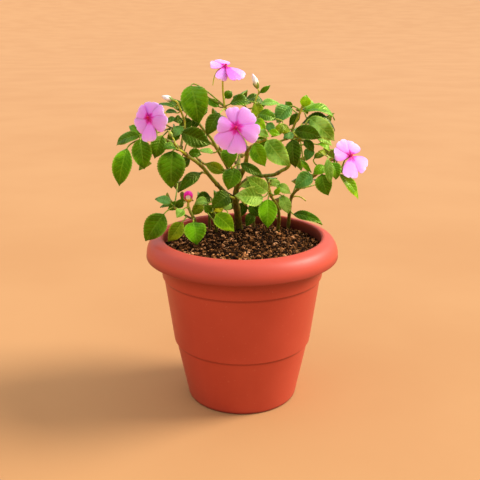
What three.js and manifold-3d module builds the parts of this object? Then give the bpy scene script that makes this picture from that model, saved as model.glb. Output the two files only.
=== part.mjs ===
// A potted garden balsam: a rolled-rim plastic pot, its soil, and a branching plant with leafy shoots, buds
// and four open blooms. Millimetres, +Z up, with the origin at the centre of the pot's base.
import * as THREE from "three";
import { mergeVertices } from "three/addons/utils/BufferGeometryUtils.js";
import Module from "manifold-3d";

const wasm = await Module();
wasm.setup();

// Driving dimensions of the pot
const RIM_RADIUS = 100;
const RIM_HEIGHT = 178.5;
const MOUTH_RADIUS = 82.4;
const BASE_RADIUS = 58.5;
const WALL = 2.6;
const FLOOR = 3.4;
const POT_SIDES = 28;
const DRAIN_RADIUS = 5;
const DRAIN_CIRCLE = 34;
const DRAIN_COUNT = 4;

// Driving dimensions of the soil
const SOIL_EDGE_HEIGHT = 167.5;
const SOIL_MOUND = 5.5;
const CRUMB_HEIGHT = 1.3;
const SOIL_SIDES = 20;
const HOLE_FLOOR = 140;

// What touches keeps this gap
const GAP = 0.3;

// Driving dimensions of the plant
const BLADE = 0.72; // thickness of a leaf
const PETAL = 0.66; // thickness of a petal
const STALK_WIDTH = 1.3; // width of a leaf's stalk
const STALK_DEPTH = 1.2;
const LONG_STALK = 15; // a leaf's stalk over this length is bent in the middle
const LEAF_FOLD = 0.22; // how far a leaf's margin stands above its midrib, as a share of its half width
const TOOTH = 0.08; // how far a margin tooth stands out, as a share of the half width
const LARGE_WIDTH = 16; // a leaf at least this wide is folded along its midrib and has more teeth
const SMALL_WIDTH = 9; // a leaf under this width has the fewest teeth
const SLENDER = 1.3; // a stem up to this radius has the fewest sides
const NODE_SWELL = 1.35; // how much thicker a shoot is at its root, where it leaves the main stem
const THROAT = 4; // depth of the tube behind a bloom's eye
const EYE_RADIUS = 1.8;
const PETAL_LAYER = 0.85; // distance between the layers of a bloom's petals
const NOTCH = 0.08; // depth of the notch in a petal's end, as a share of its length

// Driving dimensions of the back of the crown
const CROWN_ACROSS = 128; // half of its width
const CROWN_DEPTH = 92; // how far it reaches behind the stem
const CROWN_MIDDLE = 232; // height of its widest part
const CROWN_RISE = 118; // from there to its top

// Every place on the plant is written as [across, height, nearer]: where it lies when it is looked at from
// EYE, measured on the upright plane through the pot's axis, and how far it stands out from that plane
// towards EYE.
const EYE = new THREE.Vector3(0, -720, 392);

function seen([across, height, nearer]) {
  return new THREE.Vector3(across, 0, height).lerp(EYE, nearer / -EYE.y);
}

// Open blooms: where the eye lies, which way it faces, each petal's tip with its width, and the spur behind
const BLOOMS = {
  bloom_left: {
    eye: [-93, 299, 32],
    faces: [-0.5, -0.82, 0.2],
    petals: [[-90.5, 315, 29, 18], [-77.5, 304.5, 38, 17], [-75.5, 291, 42, 16],
      [-95, 275, 40, 17], [-106.5, 289, 28, 17], [-104, 305.5, 24, 16]],
    spur: [[-86, 303, 25], [-80, 306, 16], [-75, 303, 8]],
  },
  bloom_centre: {
    eye: [-6.4, 289.5, 58],
    faces: [0.05, -0.96, 0.28],
    petals: [[-10.5, 310, 52, 13], [9.5, 305, 53, 18.5], [17, 281.5, 59, 18],
      [-5.5, 262.5, 64, 18], [-24.5, 271, 62, 17], [-25, 293, 57, 15]],
    spur: [[-12, 291, 51], [-16, 286, 42], [-16, 276, 38]],
  },
  bloom_top: {
    eye: [-16.5, 349, -8],
    faces: [0.3, -0.42, 0.86],
    petals: [[-31, 352.5, -6, 14], [-21.5, 336.5, 6, 12], [-5, 335.5, 8, 14], [3.5, 341, -8, 15],
      [-20, 355.5, -22, 16]],
    spur: [[-23.5, 345, -12], [-27.5, 338, -14], [-29, 330.5, -14]],
  },
  bloom_right: {
    eye: [109.5, 261, -4],
    faces: [0.42, -0.72, 0.52],
    petals: [[93.5, 263.5, 4, 13], [98, 276.5, -8, 14], [112.5, 274, -16, 15],
      [127, 249, -4, 17], [110.5, 238, 10, 16]],
    spur: [[113, 256, -10], [113, 247, -16], [108, 240, -20]],
  },
};

// Buds: base and tip, greatest radius, and colour
const BUDS = {
  bud_white_left: { base: [-68.6, 316.3, 8], tip: [-79.5, 320, 10], radius: 2.8, color: 0xf1eee0 },
  bud_white_top: { base: [15.2, 327.5, -9], tip: [10, 341.5, -8], radius: 3, color: 0xf3efdf },
  bud_magenta: { base: [-55.5, 212.4, 12], tip: [-55, 224.5, 12], radius: 4.6, color: 0xd3147f },
  bud_green: { base: [-70, 279.5, 26], tip: [-74, 286.5, 22], radius: 1.9, color: 0xa9b83a },
};

// The trunk, from just above the soil to its top, and the branches fused to it, with their radii at both
// ends
const TRUNK = {
  radii: [4.2, 2],
  at: [[-3, 184.5, -46], [-4, 191, -42], [-5, 202, -32], [-7, 216, -20], [-6, 226, -14], [-3, 237, -8],
    [1, 246, -2], [4, 256, 4], [5, 266, 8]],
};
const BRANCHES = [
  { radii: [2.4, 1.5],
    at: [[-7, 216, -20], [-17, 222.5, -14], [-25, 230.5, -8], [-33, 240, 0], [-41, 250, 6], [-49, 256.5, 12],
      [-56, 261, 16], [-62, 267, 18], [-68, 273, 20]] },
  { radii: [1.5, 1.2],
    at: [[1, 246, -2], [-6, 246, -8], [-14, 245.5, -12], [-22, 246.5, -14], [-33, 250, -14],
      [-42, 254.5, -12]] },
  { radii: [1.9, 1.3],
    at: [[-6, 226, -14], [-10, 238, -22], [-15, 249, -22], [-20, 258, -20], [-25.5, 268, -17],
      [-31, 278, -14],
      [-38, 286.5, -12], [-43, 293, -12]] },
  { radii: [2.2, 1.7],
    at: [[-6, 226, -14], [6, 237, -20], [16, 239.5, -22], [26, 240.5, -22], [33, 241.5, -20],
      [40, 245.5, -18],
      [46, 249, -16], [49, 256, -14], [50, 265, -12]] },
  { radii: [2.2, 1.6],
    at: [[-3, 237, -8], [-4, 244, -22], [-4, 252, -34], [-3, 260, -46], [-1, 268, -56]] },
];

// Shoots on the main stem. A stem that holds a bloom or a bud ends on it, and a bare one bears no leaves. A
// leaf is [base across, height, nearer, tip across, height, nearer, width, arch, turn]: arch is the
// midrib's rise as a share of its length, and turn is how many degrees the upper face is turned away from
// EYE about the midrib. Spots for leaves at the back of the crown are [across, height].
const SHOOTS = {
  shoot_left_tip: {
    stems: [
      { radii: [1.7, 1.1], at: [[-68, 273, 20], [-77, 277, 22], [-86, 279, 22], [-95, 279.5, 22],
        [-103, 277, 22]] },
      { radii: [1.1, 0.9], at: [[-86, 279, 22], [-86, 286, 18], [-87, 292, 17]], holds: "bloom_left" },
    ],
    leaves: [
      [-116.5, 268, 24, -126, 228.5, 28, 18.5, 0.2, 8],
      [-102, 277, 32, -99.5, 246.5, 37, 19.5, 0.12, 0],
      [-103, 281, 20, -127, 271.5, 14, 13, 0.12, 42],
      [-102, 283, 12, -113, 291, 4, 9, 0.1, 10],
      [-81, 281, 28, -88.5, 257.5, 34, 16, 0.12, -8],
    ],
  },
  shoot_left_middle: {
    stems: [
      { radii: [1.5, 1], at: [[-56, 261, 16], [-59, 264, 22], [-63, 266.5, 27], [-66, 267, 30]] },
      { radii: [0.9, 0.7], at: [[-63, 266.5, 27], [-65.5, 270, 29], [-68, 274.5, 28]], holds: "bud_green" },
    ],
    leaves: [
      [-70, 266, 33, -72.5, 226.5, 42, 27, 0.1, 0],
      [-67, 269, 32, -80, 268, 41, 10, 0.15, 40],
    ],
  },
  shoot_left_upper: {
    stems: [
      { radii: [1.3, 0.8],
        at: [[-62, 267, 18], [-60, 278, 10], [-57.5, 288, 6], [-57.5, 296, 5], [-60, 303, 6],
          [-62.5, 310, 8]],
        holds: "bud_white_left" },
    ],
    leaves: [
      [-61, 284.5, 12, -31, 272.5, 8, 20, 0.12, -14],
      [-60, 290, 8, -68, 280, 12, 10, 0.15, 20],
      [-60, 297, 7, -68.5, 296, 10, 9, 0.15, 25],
      [-67, 299, 0, -77, 294, 2, 6, 0.15, 25],
      [-65, 304, 2, -78, 303, 0, 6, 0.15, 50],
      [-67, 309.5, 4, -84, 312, 2, 6, 0.12, 50],
      [-62.5, 286, 2, -76.5, 274, 6, 11, 0.12, 10],
    ],
  },
  shoot_top: {
    stems: [
      { radii: [1.9, 1.2], at: [[5, 266, 8], [1, 278, 4], [-7, 291, -3], [-14, 302, -8], [-17.5, 311, -9]] },
      { radii: [1.1, 0.8], at: [[-15.8, 306, -8.5], [-17.5, 311, -9], [-18.7, 320, -10], [-19.2, 330, -10]],
        holds: "bloom_top", bare: true },
      { radii: [1.2, 0.8], at: [[1, 278, 4], [6, 292, -4], [9.5, 303, -8], [12, 313, -9], [15, 321, -9]],
        holds: "bud_white_top" },
      { radii: [1.2, 0.9], at: [[1, 278, 4], [-2, 282, 20], [-5, 284, 36]], holds: "bloom_centre" },
    ],
    leaves: [
      [-50.5, 330, -8, -43.5, 292, 4, 28, 0.16, 6],
      [-40, 323, -18, -34.5, 320.5, -22, 7, 0.1, 0],
      [-23, 310, -13, -36.5, 316, -18, 9, 0.3, 20],
      [-16.8, 318.6, -16, -10, 324.5, -19, 9, 0.2, 0],
      [-12, 313, -8, 9.5, 313, -12, 13.5, 0.25, -38],
      [3, 317, -18, 22, 311, -24, 11, 0.22, -50],
      [18, 312.5, -12, 38, 312, -12, 10, 0.15, -48],
      [13, 313, 2, 19.5, 296.5, 8, 12, 0.12, 0],
      [-22.5, 303.5, 16, -36, 281, 22, 15, 0.12, 8],
      [17.5, 323.5, -8, 27.5, 330.5, -10, 5.5, 0.1, 0],
    ],
  },
  shoot_trunk: {
    stems: [{ radii: [1.5, 1], at: [[-3, 237, -8], [-7, 242, 4], [-10, 247, 14], [-12, 252, 22]] }],
    leaves: [
      [-8, 248, 16, -15, 225, 26, 19, 0.12, 8],
      [-12, 270, 30, -13, 248, 38, 16, 0.1, 0],
      [-18, 244, 12, -38, 253.5, 6, 12, 0.12, 15],
      [-1.5, 252.5, 12, 22, 239, 15, 11, 0.12, -20],
    ],
  },
  shoot_trunk_low: {
    stems: [{ radii: [1.4, 1], at: [[-7, 216, -20], [-10, 217.5, -9], [-13, 218.5, 0], [-15, 219, 4]] }],
    leaves: [[-13.5, 220.5, 7, -31.5, 206.5, 18, 18, 0.1, 12]],
  },
  shoot_left_inner: {
    stems: [{ radii: [1.2, 0.9], at: [[-42, 254.5, -12], [-45, 257.5, -12], [-48, 261, -12],
      [-51, 264, -13]] }],
    leaves: [
      [-54, 263, -10, -41, 262, -14, 10, 0.2, -20],
      [-53, 258.5, -19, -63, 249, -23, 11, 0.14, 20],
    ],
  },
  shoot_left_low: {
    stems: [{ radii: [1.2, 0.9], at: [[-33, 240, 0], [-35, 241.5, -6], [-38, 243, -12], [-41, 244, -16]] }],
    leaves: [
      [-43, 243.5, -15, -66.5, 222.5, 0, 12.5, 0.14, 12],
      [-46, 240, -24, -60, 230, -26, 9, 0.14, 25],
    ],
  },
  shoot_upper_low: {
    stems: [{ radii: [1.2, 0.9], at: [[-20, 258, -20], [-20, 262, -14], [-21, 266, -9], [-23, 269, -6]] }],
    leaves: [
      [-29, 264, -6, -44, 266, -5, 8, 0.12, 45],
      [-23, 272, -4, -20, 286, -2, 10, 0.1, 0],
    ],
  },
  shoot_upper_inner: {
    stems: [{ radii: [1.2, 0.9], at: [[-43, 293, -12], [-47, 298, -16], [-52, 301, -20], [-57, 305, -22]] }],
    leaves: [
      [-58, 306, -24, -73, 318, -30, 12, 0.1, 30],
      [-44, 305, -20, -34, 308, -26, 12, 0.12, 0],
      [-50, 296, -22, -64, 288, -26, 14, 0.12, 20],
      [-45, 298, -8, -50, 287.5, -4, 8, 0.12, 0],
    ],
  },
  shoot_centre_right: {
    stems: [
      { radii: [1.6, 1.1], at: [[5, 266, 8], [9, 270, 15], [14, 273, 22], [20, 276, 27], [25, 278, 29]] },
      { radii: [1.1, 0.8], at: [[14, 273, 22], [14, 282, 21], [14, 291, 18], [15, 299, 14]] },
    ],
    leaves: [
      [25, 276.5, 34, 48.5, 250, 42, 20, 0.12, 0],
      [12, 273, 38, 23.5, 249.5, 44, 16, 0.12, 0],
      [15, 279, 18, 30, 261, 22, 15, 0.12, 0],
      [13, 297, 24, 23.5, 286, 30, 11, 0.15, -10],
      [16, 285, 32, 27, 280, 36, 8, 0.15, -10],
      [17, 303, 12, 34, 297, 14, 13.5, 0.18, -28],
      [25, 293.5, 18, 33, 284, 22, 9, 0.12, 0],
      [40.5, 293, 12, 29, 279.5, 17, 9, 0.12, 0],
      [27, 286, 26, 38, 282, 28, 7, 0.12, -10],
    ],
  },
  shoot_right_upper: {
    stems: [
      { radii: [1.5, 0.9],
        at: [[50, 265, -12], [50, 275, -10], [49.5, 284, -8], [52, 292, -6], [56, 301, -4], [59, 309, -4],
          [60.5, 315, -4]] },
    ],
    leaves: [
      [46.5, 310.5, -8, 34, 294, 0, 17, 0.12, 14],
      [49, 308, -14, 42.5, 315, -18, 7, 0.1, 0],
      [47, 288, -2, 35.5, 283, 4, 11, 0.3, 25],
      [50, 284, 2, 41, 278.5, 8, 10, 0.15, 10],
      [61, 306, -8, 93, 296.5, -18, 14, 0.22, -62],
      [61, 309, -12, 73, 312, -18, 10, 0.12, -25],
      [61, 310, -2, 63.5, 321.5, -4, 11, 0.1, 0],
      [56.5, 303, -10, 46.5, 291, -8, 9, 0.12, 10],
    ],
  },
  shoot_right_middle: {
    stems: [{ radii: [1.4, 1], at: [[50, 265, -12], [54, 271, -3], [58, 279, 4], [61, 287, 7],
      [64, 294, 6]] }],
    leaves: [
      [53, 286, 12, 80, 279, 20, 15, 0.12, -8],
      [67, 298, 4, 93.5, 275.5, 12, 18, 0.24, -14],
      [60, 294, -3, 93.5, 286, -10, 17, 0.22, -48],
      [62, 276.5, 2, 72.5, 264.5, 6, 9, 0.15, -10],
      [74, 281, 2, 90.5, 271, 6, 9, 0.14, -18],
      [51, 277, 6, 54, 248, 14, 17, 0.1, 0],
      [76, 273, -4, 87.5, 263, -6, 9, 0.34, -45],
      [69, 269.5, -6, 64.5, 255.5, -2, 11, 0.12, 12],
    ],
  },
  shoot_back_left: {
    stems: [
      { radii: [1.5, 1], at: [[-4, 252, -34], [-14, 260, -46], [-27, 270, -56], [-41, 280, -60],
        [-57, 287, -57],
        [-72, 289, -50]] },
    ],
    back: [[-24, 300], [-48, 312], [-44, 283], [-66, 254], [-70, 285], [-86, 303], [-96, 282], [-100, 258]],
  },
  shoot_back_centre: {
    stems: [{ radii: [1.5, 1], at: [[-1, 268, -56], [1, 277, -62], [3, 288, -64], [4, 299, -60],
      [5, 308, -54]] }],
    back: [[-14, 264], [-12, 288], [-2, 320], [12, 288], [18, 312]],
  },
  shoot_back_right: {
    stems: [
      { radii: [1.5, 1], at: [[-3, 260, -46], [10, 264, -54], [26, 270, -59], [42, 277, -60], [59, 281, -56],
        [74, 281, -48]] },
    ],
    back: [[36, 256], [36, 300], [52, 284], [60, 258], [62, 306], [75, 286], [86, 300], [90, 266]],
  },
};

// Leafy stems that stand in the soil by themselves
const SOIL_STEMS = {
  stem_right: {
    stems: [
      { radii: [2.1, 1.2],
        at: [[48, 189, -58], [48.5, 196, -54], [49, 205, -46], [49.5, 213.5, -37], [52, 221, -28],
          [57, 226.5, -20],
          [62, 231, -14], [67.5, 235.5, -8], [73, 240, -4], [78, 243.5, 0], [83, 249, 2], [87, 254.5, 4],
          [91, 259, 4]] },
      { radii: [1.1, 0.9], at: [[87, 254.5, 4], [93, 257, -2], [99, 258, -8]], holds: "bloom_right" },
      { radii: [0.8, 0.7], at: [[49.5, 213.5, -37], [53, 218.5, -38], [60, 218, -39],
        [65.5, 214, -40]], bare: true },
    ],
    leaves: [
      [86, 257, 12, 89.5, 231, 19, 9, 0.12, 0],
      [90.5, 254, 6, 95.5, 236, 10, 13.5, 0.25, -25],
      [81, 242, 12, 88.5, 219.5, 18, 17, 0.12, 0],
      [84, 249, 8, 72, 242, 12, 11, 0.15, 15],
      [99.5, 242, -2, 120, 215.5, -4, 12.5, 0.08, -36],
      [71, 241.5, 2, 54, 227, 8, 16, 0.12, 8],
      [59.5, 256, -9, 70.5, 243.5, -3, 6, 0.12, -10],
      [84, 262, 8, 76.5, 265.5, 10, 6, 0.15, 40],
      [72.5, 258.5, -4, 86, 262.5, -8, 8, 0.12, -40],
      [53, 200, -36, 84, 189, -23, 12, 0.12, -35],
    ],
    back: [[82, 236], [102, 248], [58, 236]],
  },
  stem_centre: {
    stems: [
      { radii: [1.9, 1.2],
        at: [[37, 184, -40], [38, 191, -35], [38, 199, -26], [36.5, 207, -15], [33, 214, -5], [29, 220, 3],
          [27, 227, 8], [27.5, 234, 8]] },
    ],
    leaves: [
      [26, 224, 11, 4, 240, 17, 15, 0.16, 12],
      [18, 232.5, 11, -3, 229, 16, 10, 0.14, 12],
      [21, 218, 15, -8, 219.5, 27, 20, 0.1, 6],
      [26.5, 215.5, 14, 26.5, 184.5, 24, 19, 0.12, 3],
      [41, 219.5, 6, 48.5, 200, 10, 12, 0.12, -8],
      [35, 230, 6, 50, 221.5, 6, 10, 0.15, -20],
      [29, 232.5, 6, 39.5, 231, 2, 8, 0.15, -20],
      [33.5, 220.5, 12, 38.5, 228.5, 12, 6, 0.1, 0],
    ],
    back: [[12, 226], [28, 236], [40, 216]],
  },
  stem_left_low: {
    stems: [
      { radii: [1.9, 1.3], at: [[-47, 180, 12], [-48, 187, 13], [-49.5, 194, 14], [-53, 201, 14],
        [-55, 206, 13]],
        holds: "bud_magenta" },
      { radii: [1.1, 0.9], at: [[-49.5, 194, 14], [-58, 198, 13], [-66, 203, 11], [-71, 208, 9]] },
    ],
    leaves: [
      [-50.5, 191, 32, -48, 166.5, 44, 22, 0.14, 0],
      [-62, 191.5, 24, -77.5, 169.5, 30, 15, 0.12, 8],
      [-81, 200, 20, -101.5, 170, 26, 22.5, 0.12, 4],
      [-61, 205, 24, -68, 196, 30, 10, 0.12, 8],
      [-67.5, 207, 14, -61, 216, 12, 9, 0.12, 0],
      [-73.5, 211.5, 10, -90, 216, 6, 10, 0.12, 25],
      [-73, 209.5, 6, -85, 207, 4, 5, 0.12, 40],
      [-64.5, 210.5, 4, -77, 204, 8, 9, 0.12, 10],
    ],
    back: [[-58, 216], [-76, 214], [-66, 232]],
  },
  stem_front: {
    stems: [
      { radii: [1.6, 1], at: [[-27, 183, -32], [-28, 190, -27], [-28.5, 197, -19], [-28.5, 203, -11],
        [-30, 210, -5],
        [-31, 216, -6]] },
    ],
    leaves: [
      [-27.5, 199.5, 10, -8, 181, 20, 18, 0.1, -5],
      [-19.5, 206, 2, -29.5, 202.5, 8, 7, 0.1, 15],
      [-33, 202, 12, -39, 209.5, 12, 9, 0.12, 5],
      [-11.5, 210.5, 2, -20, 205.5, 6, 8, 0.12, 12],
      [-32.5, 218, -8, -48, 211, -4, 15, 0.2, 12],
      [-35.5, 212, 4, -49.5, 210, 8, 10, 0.3, 30],
    ],
    back: [[-24, 218], [-44, 217]],
  },
  stem_back_low: {
    stems: [
      { radii: [1.6, 1], at: [[12, 192, -54], [12, 198, -52], [13, 204, -49], [16, 209, -46],
        [21, 213, -44]] },
      { radii: [1.1, 0.9], at: [[12, 198, -52], [7, 205, -50], [2, 211, -47], [-2, 216, -44]] },
    ],
    leaves: [
      [8, 211, -44, 20.5, 197, -38, 13, 0.12, 0],
      [21.5, 209, -46, 34, 195, -47, 12, 0.12, -5],
      [26, 212, -38, 41, 204.5, -34, 9, 0.12, -15],
      [11, 201.5, -40, 4, 186.5, -34, 11, 0.12, 5],
      [3.5, 212, -52, -7.5, 196, -51, 13, 0.12, 0],
      [-3, 217, -50, -18.5, 204, -53, 13, 0.12, 8],
      [12, 219, -44, 18, 229, -44, 9, 0.12, 0],
    ],
  },
  stem_back_left: {
    stems: [
      { radii: [1.6, 1], at: [[-34, 190, -56], [-34, 197, -53], [-34, 203, -48], [-35, 209, -42],
        [-38, 214, -36]] },
    ],
    leaves: [
      [-21, 208, -37, -35.5, 196, -39, 13, 0.12, 5],
      [-40.5, 211.5, -24, -52, 198.5, -18, 12, 0.12, 8],
      [-15, 200, -30, -23, 188.5, -24, 12, 0.12, 0],
    ],
  },
};

const LEAF_GREEN = 0x3d7a1f;
const STEM_GREEN = 0x5d5a24;
const PETAL_PINK = 0xe68fd2;
const TERRACOTTA = 0xc4573c;
const SOIL_BROWN = 0x3a2718;

// A closed geometry as a solid that can be joined and cut
function solid(geometry) {
  const bare = geometry.clone();
  bare.deleteAttribute("normal");
  bare.deleteAttribute("uv");
  const merged = mergeVertices(bare, 1e-4);
  return new wasm.Manifold(
    new wasm.Mesh({
      numProp: 3,
      vertProperties: new Float32Array(merged.attributes.position.array),
      triVerts: new Uint32Array(merged.index.array),
    }),
  );
}

function node(name, made, color, roughness) {
  const { vertProperties, triVerts } = made.getMesh();
  const geometry = new THREE.BufferGeometry();
  geometry.setAttribute("position", new THREE.BufferAttribute(new Float32Array(vertProperties), 3));
  geometry.setIndex(new THREE.BufferAttribute(new Uint32Array(triVerts), 1));
  geometry.computeVertexNormals();
  const mesh = new THREE.Mesh(geometry, new THREE.MeshStandardMaterial({ color, roughness, metalness: 0 }));
  mesh.name = name;
  return mesh;
}

function join(solids) {
  return solids.reduce((whole, piece) => whole.add(piece));
}

// A solid from points and triangles that all turn the same way, whichever way that is
function skin(points, triangles) {
  const volume = triangles.reduce(
    (sum, [a, b, c]) => sum + points[a].dot(new THREE.Vector3().crossVectors(points[b], points[c])),
    0,
  );
  const geometry = new THREE.BufferGeometry().setFromPoints(points);
  geometry.setIndex(triangles.flatMap(([a, b, c]) => (volume > 0 ? [a, b, c] : [a, c, b])));
  return solid(geometry);
}

// A closed tube through points, with a direction and a radius at each
function tube(points, tangents, radii, sides) {
  const rings = [];
  let across = new THREE.Vector3(0.31, 0.95, 0.05);
  points.forEach((point, i) => {
    across = across.clone().addScaledVector(tangents[i], -across.dot(tangents[i])).normalize();
    const over = new THREE.Vector3().crossVectors(tangents[i], across);
    for (let k = 0; k < sides; k += 1) {
      const angle = (2 * Math.PI * k) / sides;
      const [c, s] = [radii[i] * Math.cos(angle), radii[i] * Math.sin(angle)];
      rings.push(point.clone().addScaledVector(across, c).addScaledVector(over, s));
    }
  });
  const triangles = [];
  for (let i = 0; i + 1 < points.length; i += 1) {
    for (let k = 0; k < sides; k += 1) {
      const [a, b] = [i * sides + k, i * sides + ((k + 1) % sides)];
      triangles.push([a, b, b + sides], [a, b + sides, a + sides]);
    }
  }
  const last = (points.length - 1) * sides;
  for (let k = 1; k + 1 < sides; k += 1) {
    triangles.push([0, k + 1, k], [last, last + k, last + k + 1]);
  }
  return skin(rings, triangles);
}

// A closed plate through rings of points. A ring holds the upper face's points from left to right, then the
// lower face's, and both faces are split into triangles alike. It ends in a pair of points, or in its last
// ring.
function plate(rings, columns, end) {
  const size = 2 * columns;
  const middle = Math.floor((columns - 1) / 2);
  const segments = end ? rings.length : rings.length - 1;
  const at = (ring, column, face) =>
    ring < rings.length ? ring * size + face * columns + column : rings.length * size + face;
  const triangles = [];
  const quad = (p, q, r, s) => triangles.push([p, q, r], [p, r, s]);
  for (let k = 0; k < segments; k += 1) {
    for (let c = 0; c + 1 < columns; c += 1) {
      const [inner, outer] = c < middle ? [c + 1, c] : [c, c + 1];
      for (const face of [0, 1]) {
        const corners = [at(k, inner, face), at(k, outer, face), at(k + 1, outer, face),
          at(k + 1, inner, face)];
        const [p, q, r, s] = corners;
        if (c < middle === (face === 0)) quad(p, q, r, s);
        else quad(p, s, r, q);
      }
    }
    quad(at(k, 0, 0), at(k, 0, 1), at(k + 1, 0, 1), at(k + 1, 0, 0));
    const right = columns - 1;
    quad(at(k, right, 0), at(k + 1, right, 0), at(k + 1, right, 1), at(k, right, 1));
  }
  for (let c = 0; c + 1 < columns; c += 1) {
    quad(at(0, c, 0), at(0, c + 1, 0), at(0, c + 1, 1), at(0, c, 1));
    if (!end) quad(at(segments, c, 0), at(segments, c, 1), at(segments, c + 1, 1), at(segments, c + 1, 0));
  }
  const whole = triangles.filter(([a, b, c]) => a !== b && b !== c && c !== a);
  return skin([...rings.flat(), ...(end ?? [])], whole);
}

// Where a bloom's or bud's stalk meets it, and the direction it points in there
function seat(name) {
  if (BUDS[name]) {
    const base = seen(BUDS[name].base);
    return { base, out: seen(BUDS[name].tip).sub(base).normalize() };
  }
  const out = new THREE.Vector3(...BLOOMS[name].faces).normalize();
  return { base: seen(BLOOMS[name].eye).addScaledVector(out, -THROAT), out };
}

function stemCurve({ at, holds }) {
  const points = at.map(seen);
  if (holds) {
    const { base, out } = seat(holds);
    points.push(base.clone().addScaledVector(out, -4), base.clone().addScaledVector(out, -1.4 * GAP));
  }
  return new THREE.CatmullRomCurve3(points, false, "centripetal");
}

const TUBE_STEP = 15;

// Evenly spaced shares of a curve's length, from one distance along it to another
function sharesOf(curve, from, to) {
  const steps = Math.max(1, Math.round((to - from) / TUBE_STEP));
  const step = (to - from) / steps;
  return Array.from({ length: steps + 1 }, (_, i) => Math.min((from + step * i) / curve.getLength(), 1));
}

function stemTube(curve, [thick, thin], from, to, swell = 1) {
  const sides = thick > SLENDER ? 5 : 4;
  const shares = sharesOf(curve, from, to);
  const radii = shares.map((share) => (thick + (thin - thick) * share) * swell);
  return tube(shares.map((s) => curve.getPointAt(s)), shares.map((s) => curve.getTangentAt(s)), radii, sides);
}

// Half width of a leaf along its midrib, as a share of the widest
function leafOutline(u) {
  return 3.077 * u ** 0.62 * (1 - u) ** 1.1;
}

// Where a leaf's outline is drawn along its midrib, for large, middling and small leaves
const LARGE_LEAF = [0.12, 0.34, 0.64, 0.88];
const MIDDLE_LEAF = [0.2, 0.5, 0.8];
const SMALL_LEAF = [0.3, 0.75];

// A ring of a leaf: across its stalk or blade, with the margins raised above the middle
function leafRing(middle, along, up, over, { half, depth, rise, columns }) {
  const tilted = Math.abs(up.dot(along)) > 0.85;
  const sideways = tilted
    ? over.clone().addScaledVector(along, -over.dot(along)).normalize()
    : new THREE.Vector3().crossVectors(up, along).normalize();
  const normal = new THREE.Vector3().crossVectors(along, sideways);
  const shares = columns === 3 ? [-1, 0, 1] : [-1, 1];
  return [1, -1].flatMap((face) =>
    shares.map((share) =>
      middle.clone()
        .addScaledVector(sideways, share * half)
        .addScaledVector(normal, Math.abs(share) * rise + (face * depth) / 2)));
}

function stationsOf(width, folded) {
  if (folded) return LARGE_LEAF;
  return width < SMALL_WIDTH ? SMALL_LEAF : MIDDLE_LEAF;
}

function leaf(row, anchors, front) {
  const [base, tip] = [seen(row.slice(0, 3)), seen(row.slice(3, 6))];
  const [width, arch, turn] = row.slice(6);
  const length = base.distanceTo(tip);
  const straight = new THREE.Vector3().subVectors(tip, base).normalize();
  const facing = new THREE.Vector3().subVectors(EYE, base);
  facing.addScaledVector(straight, -facing.dot(straight)).normalize();
  const up = facing.applyAxisAngle(straight, THREE.MathUtils.degToRad(turn));
  const over = new THREE.Vector3().crossVectors(up, straight);
  const ribDirection = (u) => straight.clone().addScaledVector(up, arch * 4 * (1 - 2 * u)).normalize();

  const folded = front && width >= LARGE_WIDTH;
  const columns = folded ? 3 : 2;
  const root = anchors.reduce((best, point) =>
    (point.distanceTo(base) < best.distanceTo(base) ? point : best));
  const bend = base.clone().addScaledVector(ribDirection(0), -0.4 * root.distanceTo(base));
  const stalk = new THREE.QuadraticBezierCurve3(root, bend, base);
  const stalkShares = root.distanceTo(base) > LONG_STALK ? [0, 0.5, 1] : [0, 1];
  const rings = stalkShares.map((s) =>
    leafRing(stalk.getPoint(s), stalk.getTangent(s), up, over,
      { half: STALK_WIDTH / 2, depth: STALK_DEPTH, rise: 0, columns }));
  stationsOf(width, folded).forEach((u, i) => {
    const rib = base.clone().lerp(tip, u).addScaledVector(up, arch * length * 4 * u * (1 - u));
    const half = (width / 2) * leafOutline(u) * (i % 2 ? 1 - TOOTH : 1 + TOOTH);
    const rise = folded ? LEAF_FOLD * half : 0;
    rings.push(leafRing(rib, ribDirection(u), up, over, { half, depth: BLADE, rise, columns }));
  });
  const end = [0.5, -0.5].map((share) => tip.clone().addScaledVector(up, share * BLADE));
  return plate(rings, columns, end);
}

// The places on a stem's tube where stalks can grow from, clear of its start
function anchorsOf(curve, from) {
  const points = sharesOf(curve, from, curve.getLength()).map((share) => curve.getPointAt(share));
  const spots = [0.21, 0.44, 0.67, 0.93];
  return points.slice(1).flatMap((point, i) => spots.map((share) => points[i].clone().lerp(point, share)));
}

// A leaf at the back of the crown: its stalk starts on a spot, and its tip hangs on the crown's dome
function backLeaf([across, height], index) {
  const level = (height - CROWN_MIDDLE) / CROWN_RISE;
  const dome = CROWN_DEPTH * Math.sqrt(Math.max(1 - (across / CROWN_ACROSS) ** 2 - level ** 2, 0.1));
  const reach = 24 + 5 * ((index * 7) % 3);
  const droop = 3 + 3 * ((index * 5) % 4);
  const spread = across * 0.04 + 3 * ((index % 3) - 1);
  const turn = 180 + 24 * (((index * 2) % 3) - 1);
  return [across - spread * 0.4, height + 1, reach - dome, across + spread, height - droop, -dome,
    17 + 2 * ((index * 3) % 3), 0.14, turn];
}

function shoot({ stems, leaves = [], back = [] }, from) {
  const grown = stems.map((stem, i) => ({ ...stem, curve: stemCurve(stem), start: i === 0 ? from : 0 }));
  const tubes = grown.map(({ curve, radii, start }) => stemTube(curve, radii, start, curve.getLength()));
  const leafy = grown.filter(({ bare }) => !bare);
  const anchors = leafy.flatMap(({ curve, start }) => anchorsOf(curve, start));
  const front = leaves.map((row) => leaf(row, anchors, true));
  const behind = back.map((spot, i) => leaf(backLeaf(spot, i), anchors, false));
  return join([...tubes, ...front, ...behind]);
}

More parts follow.
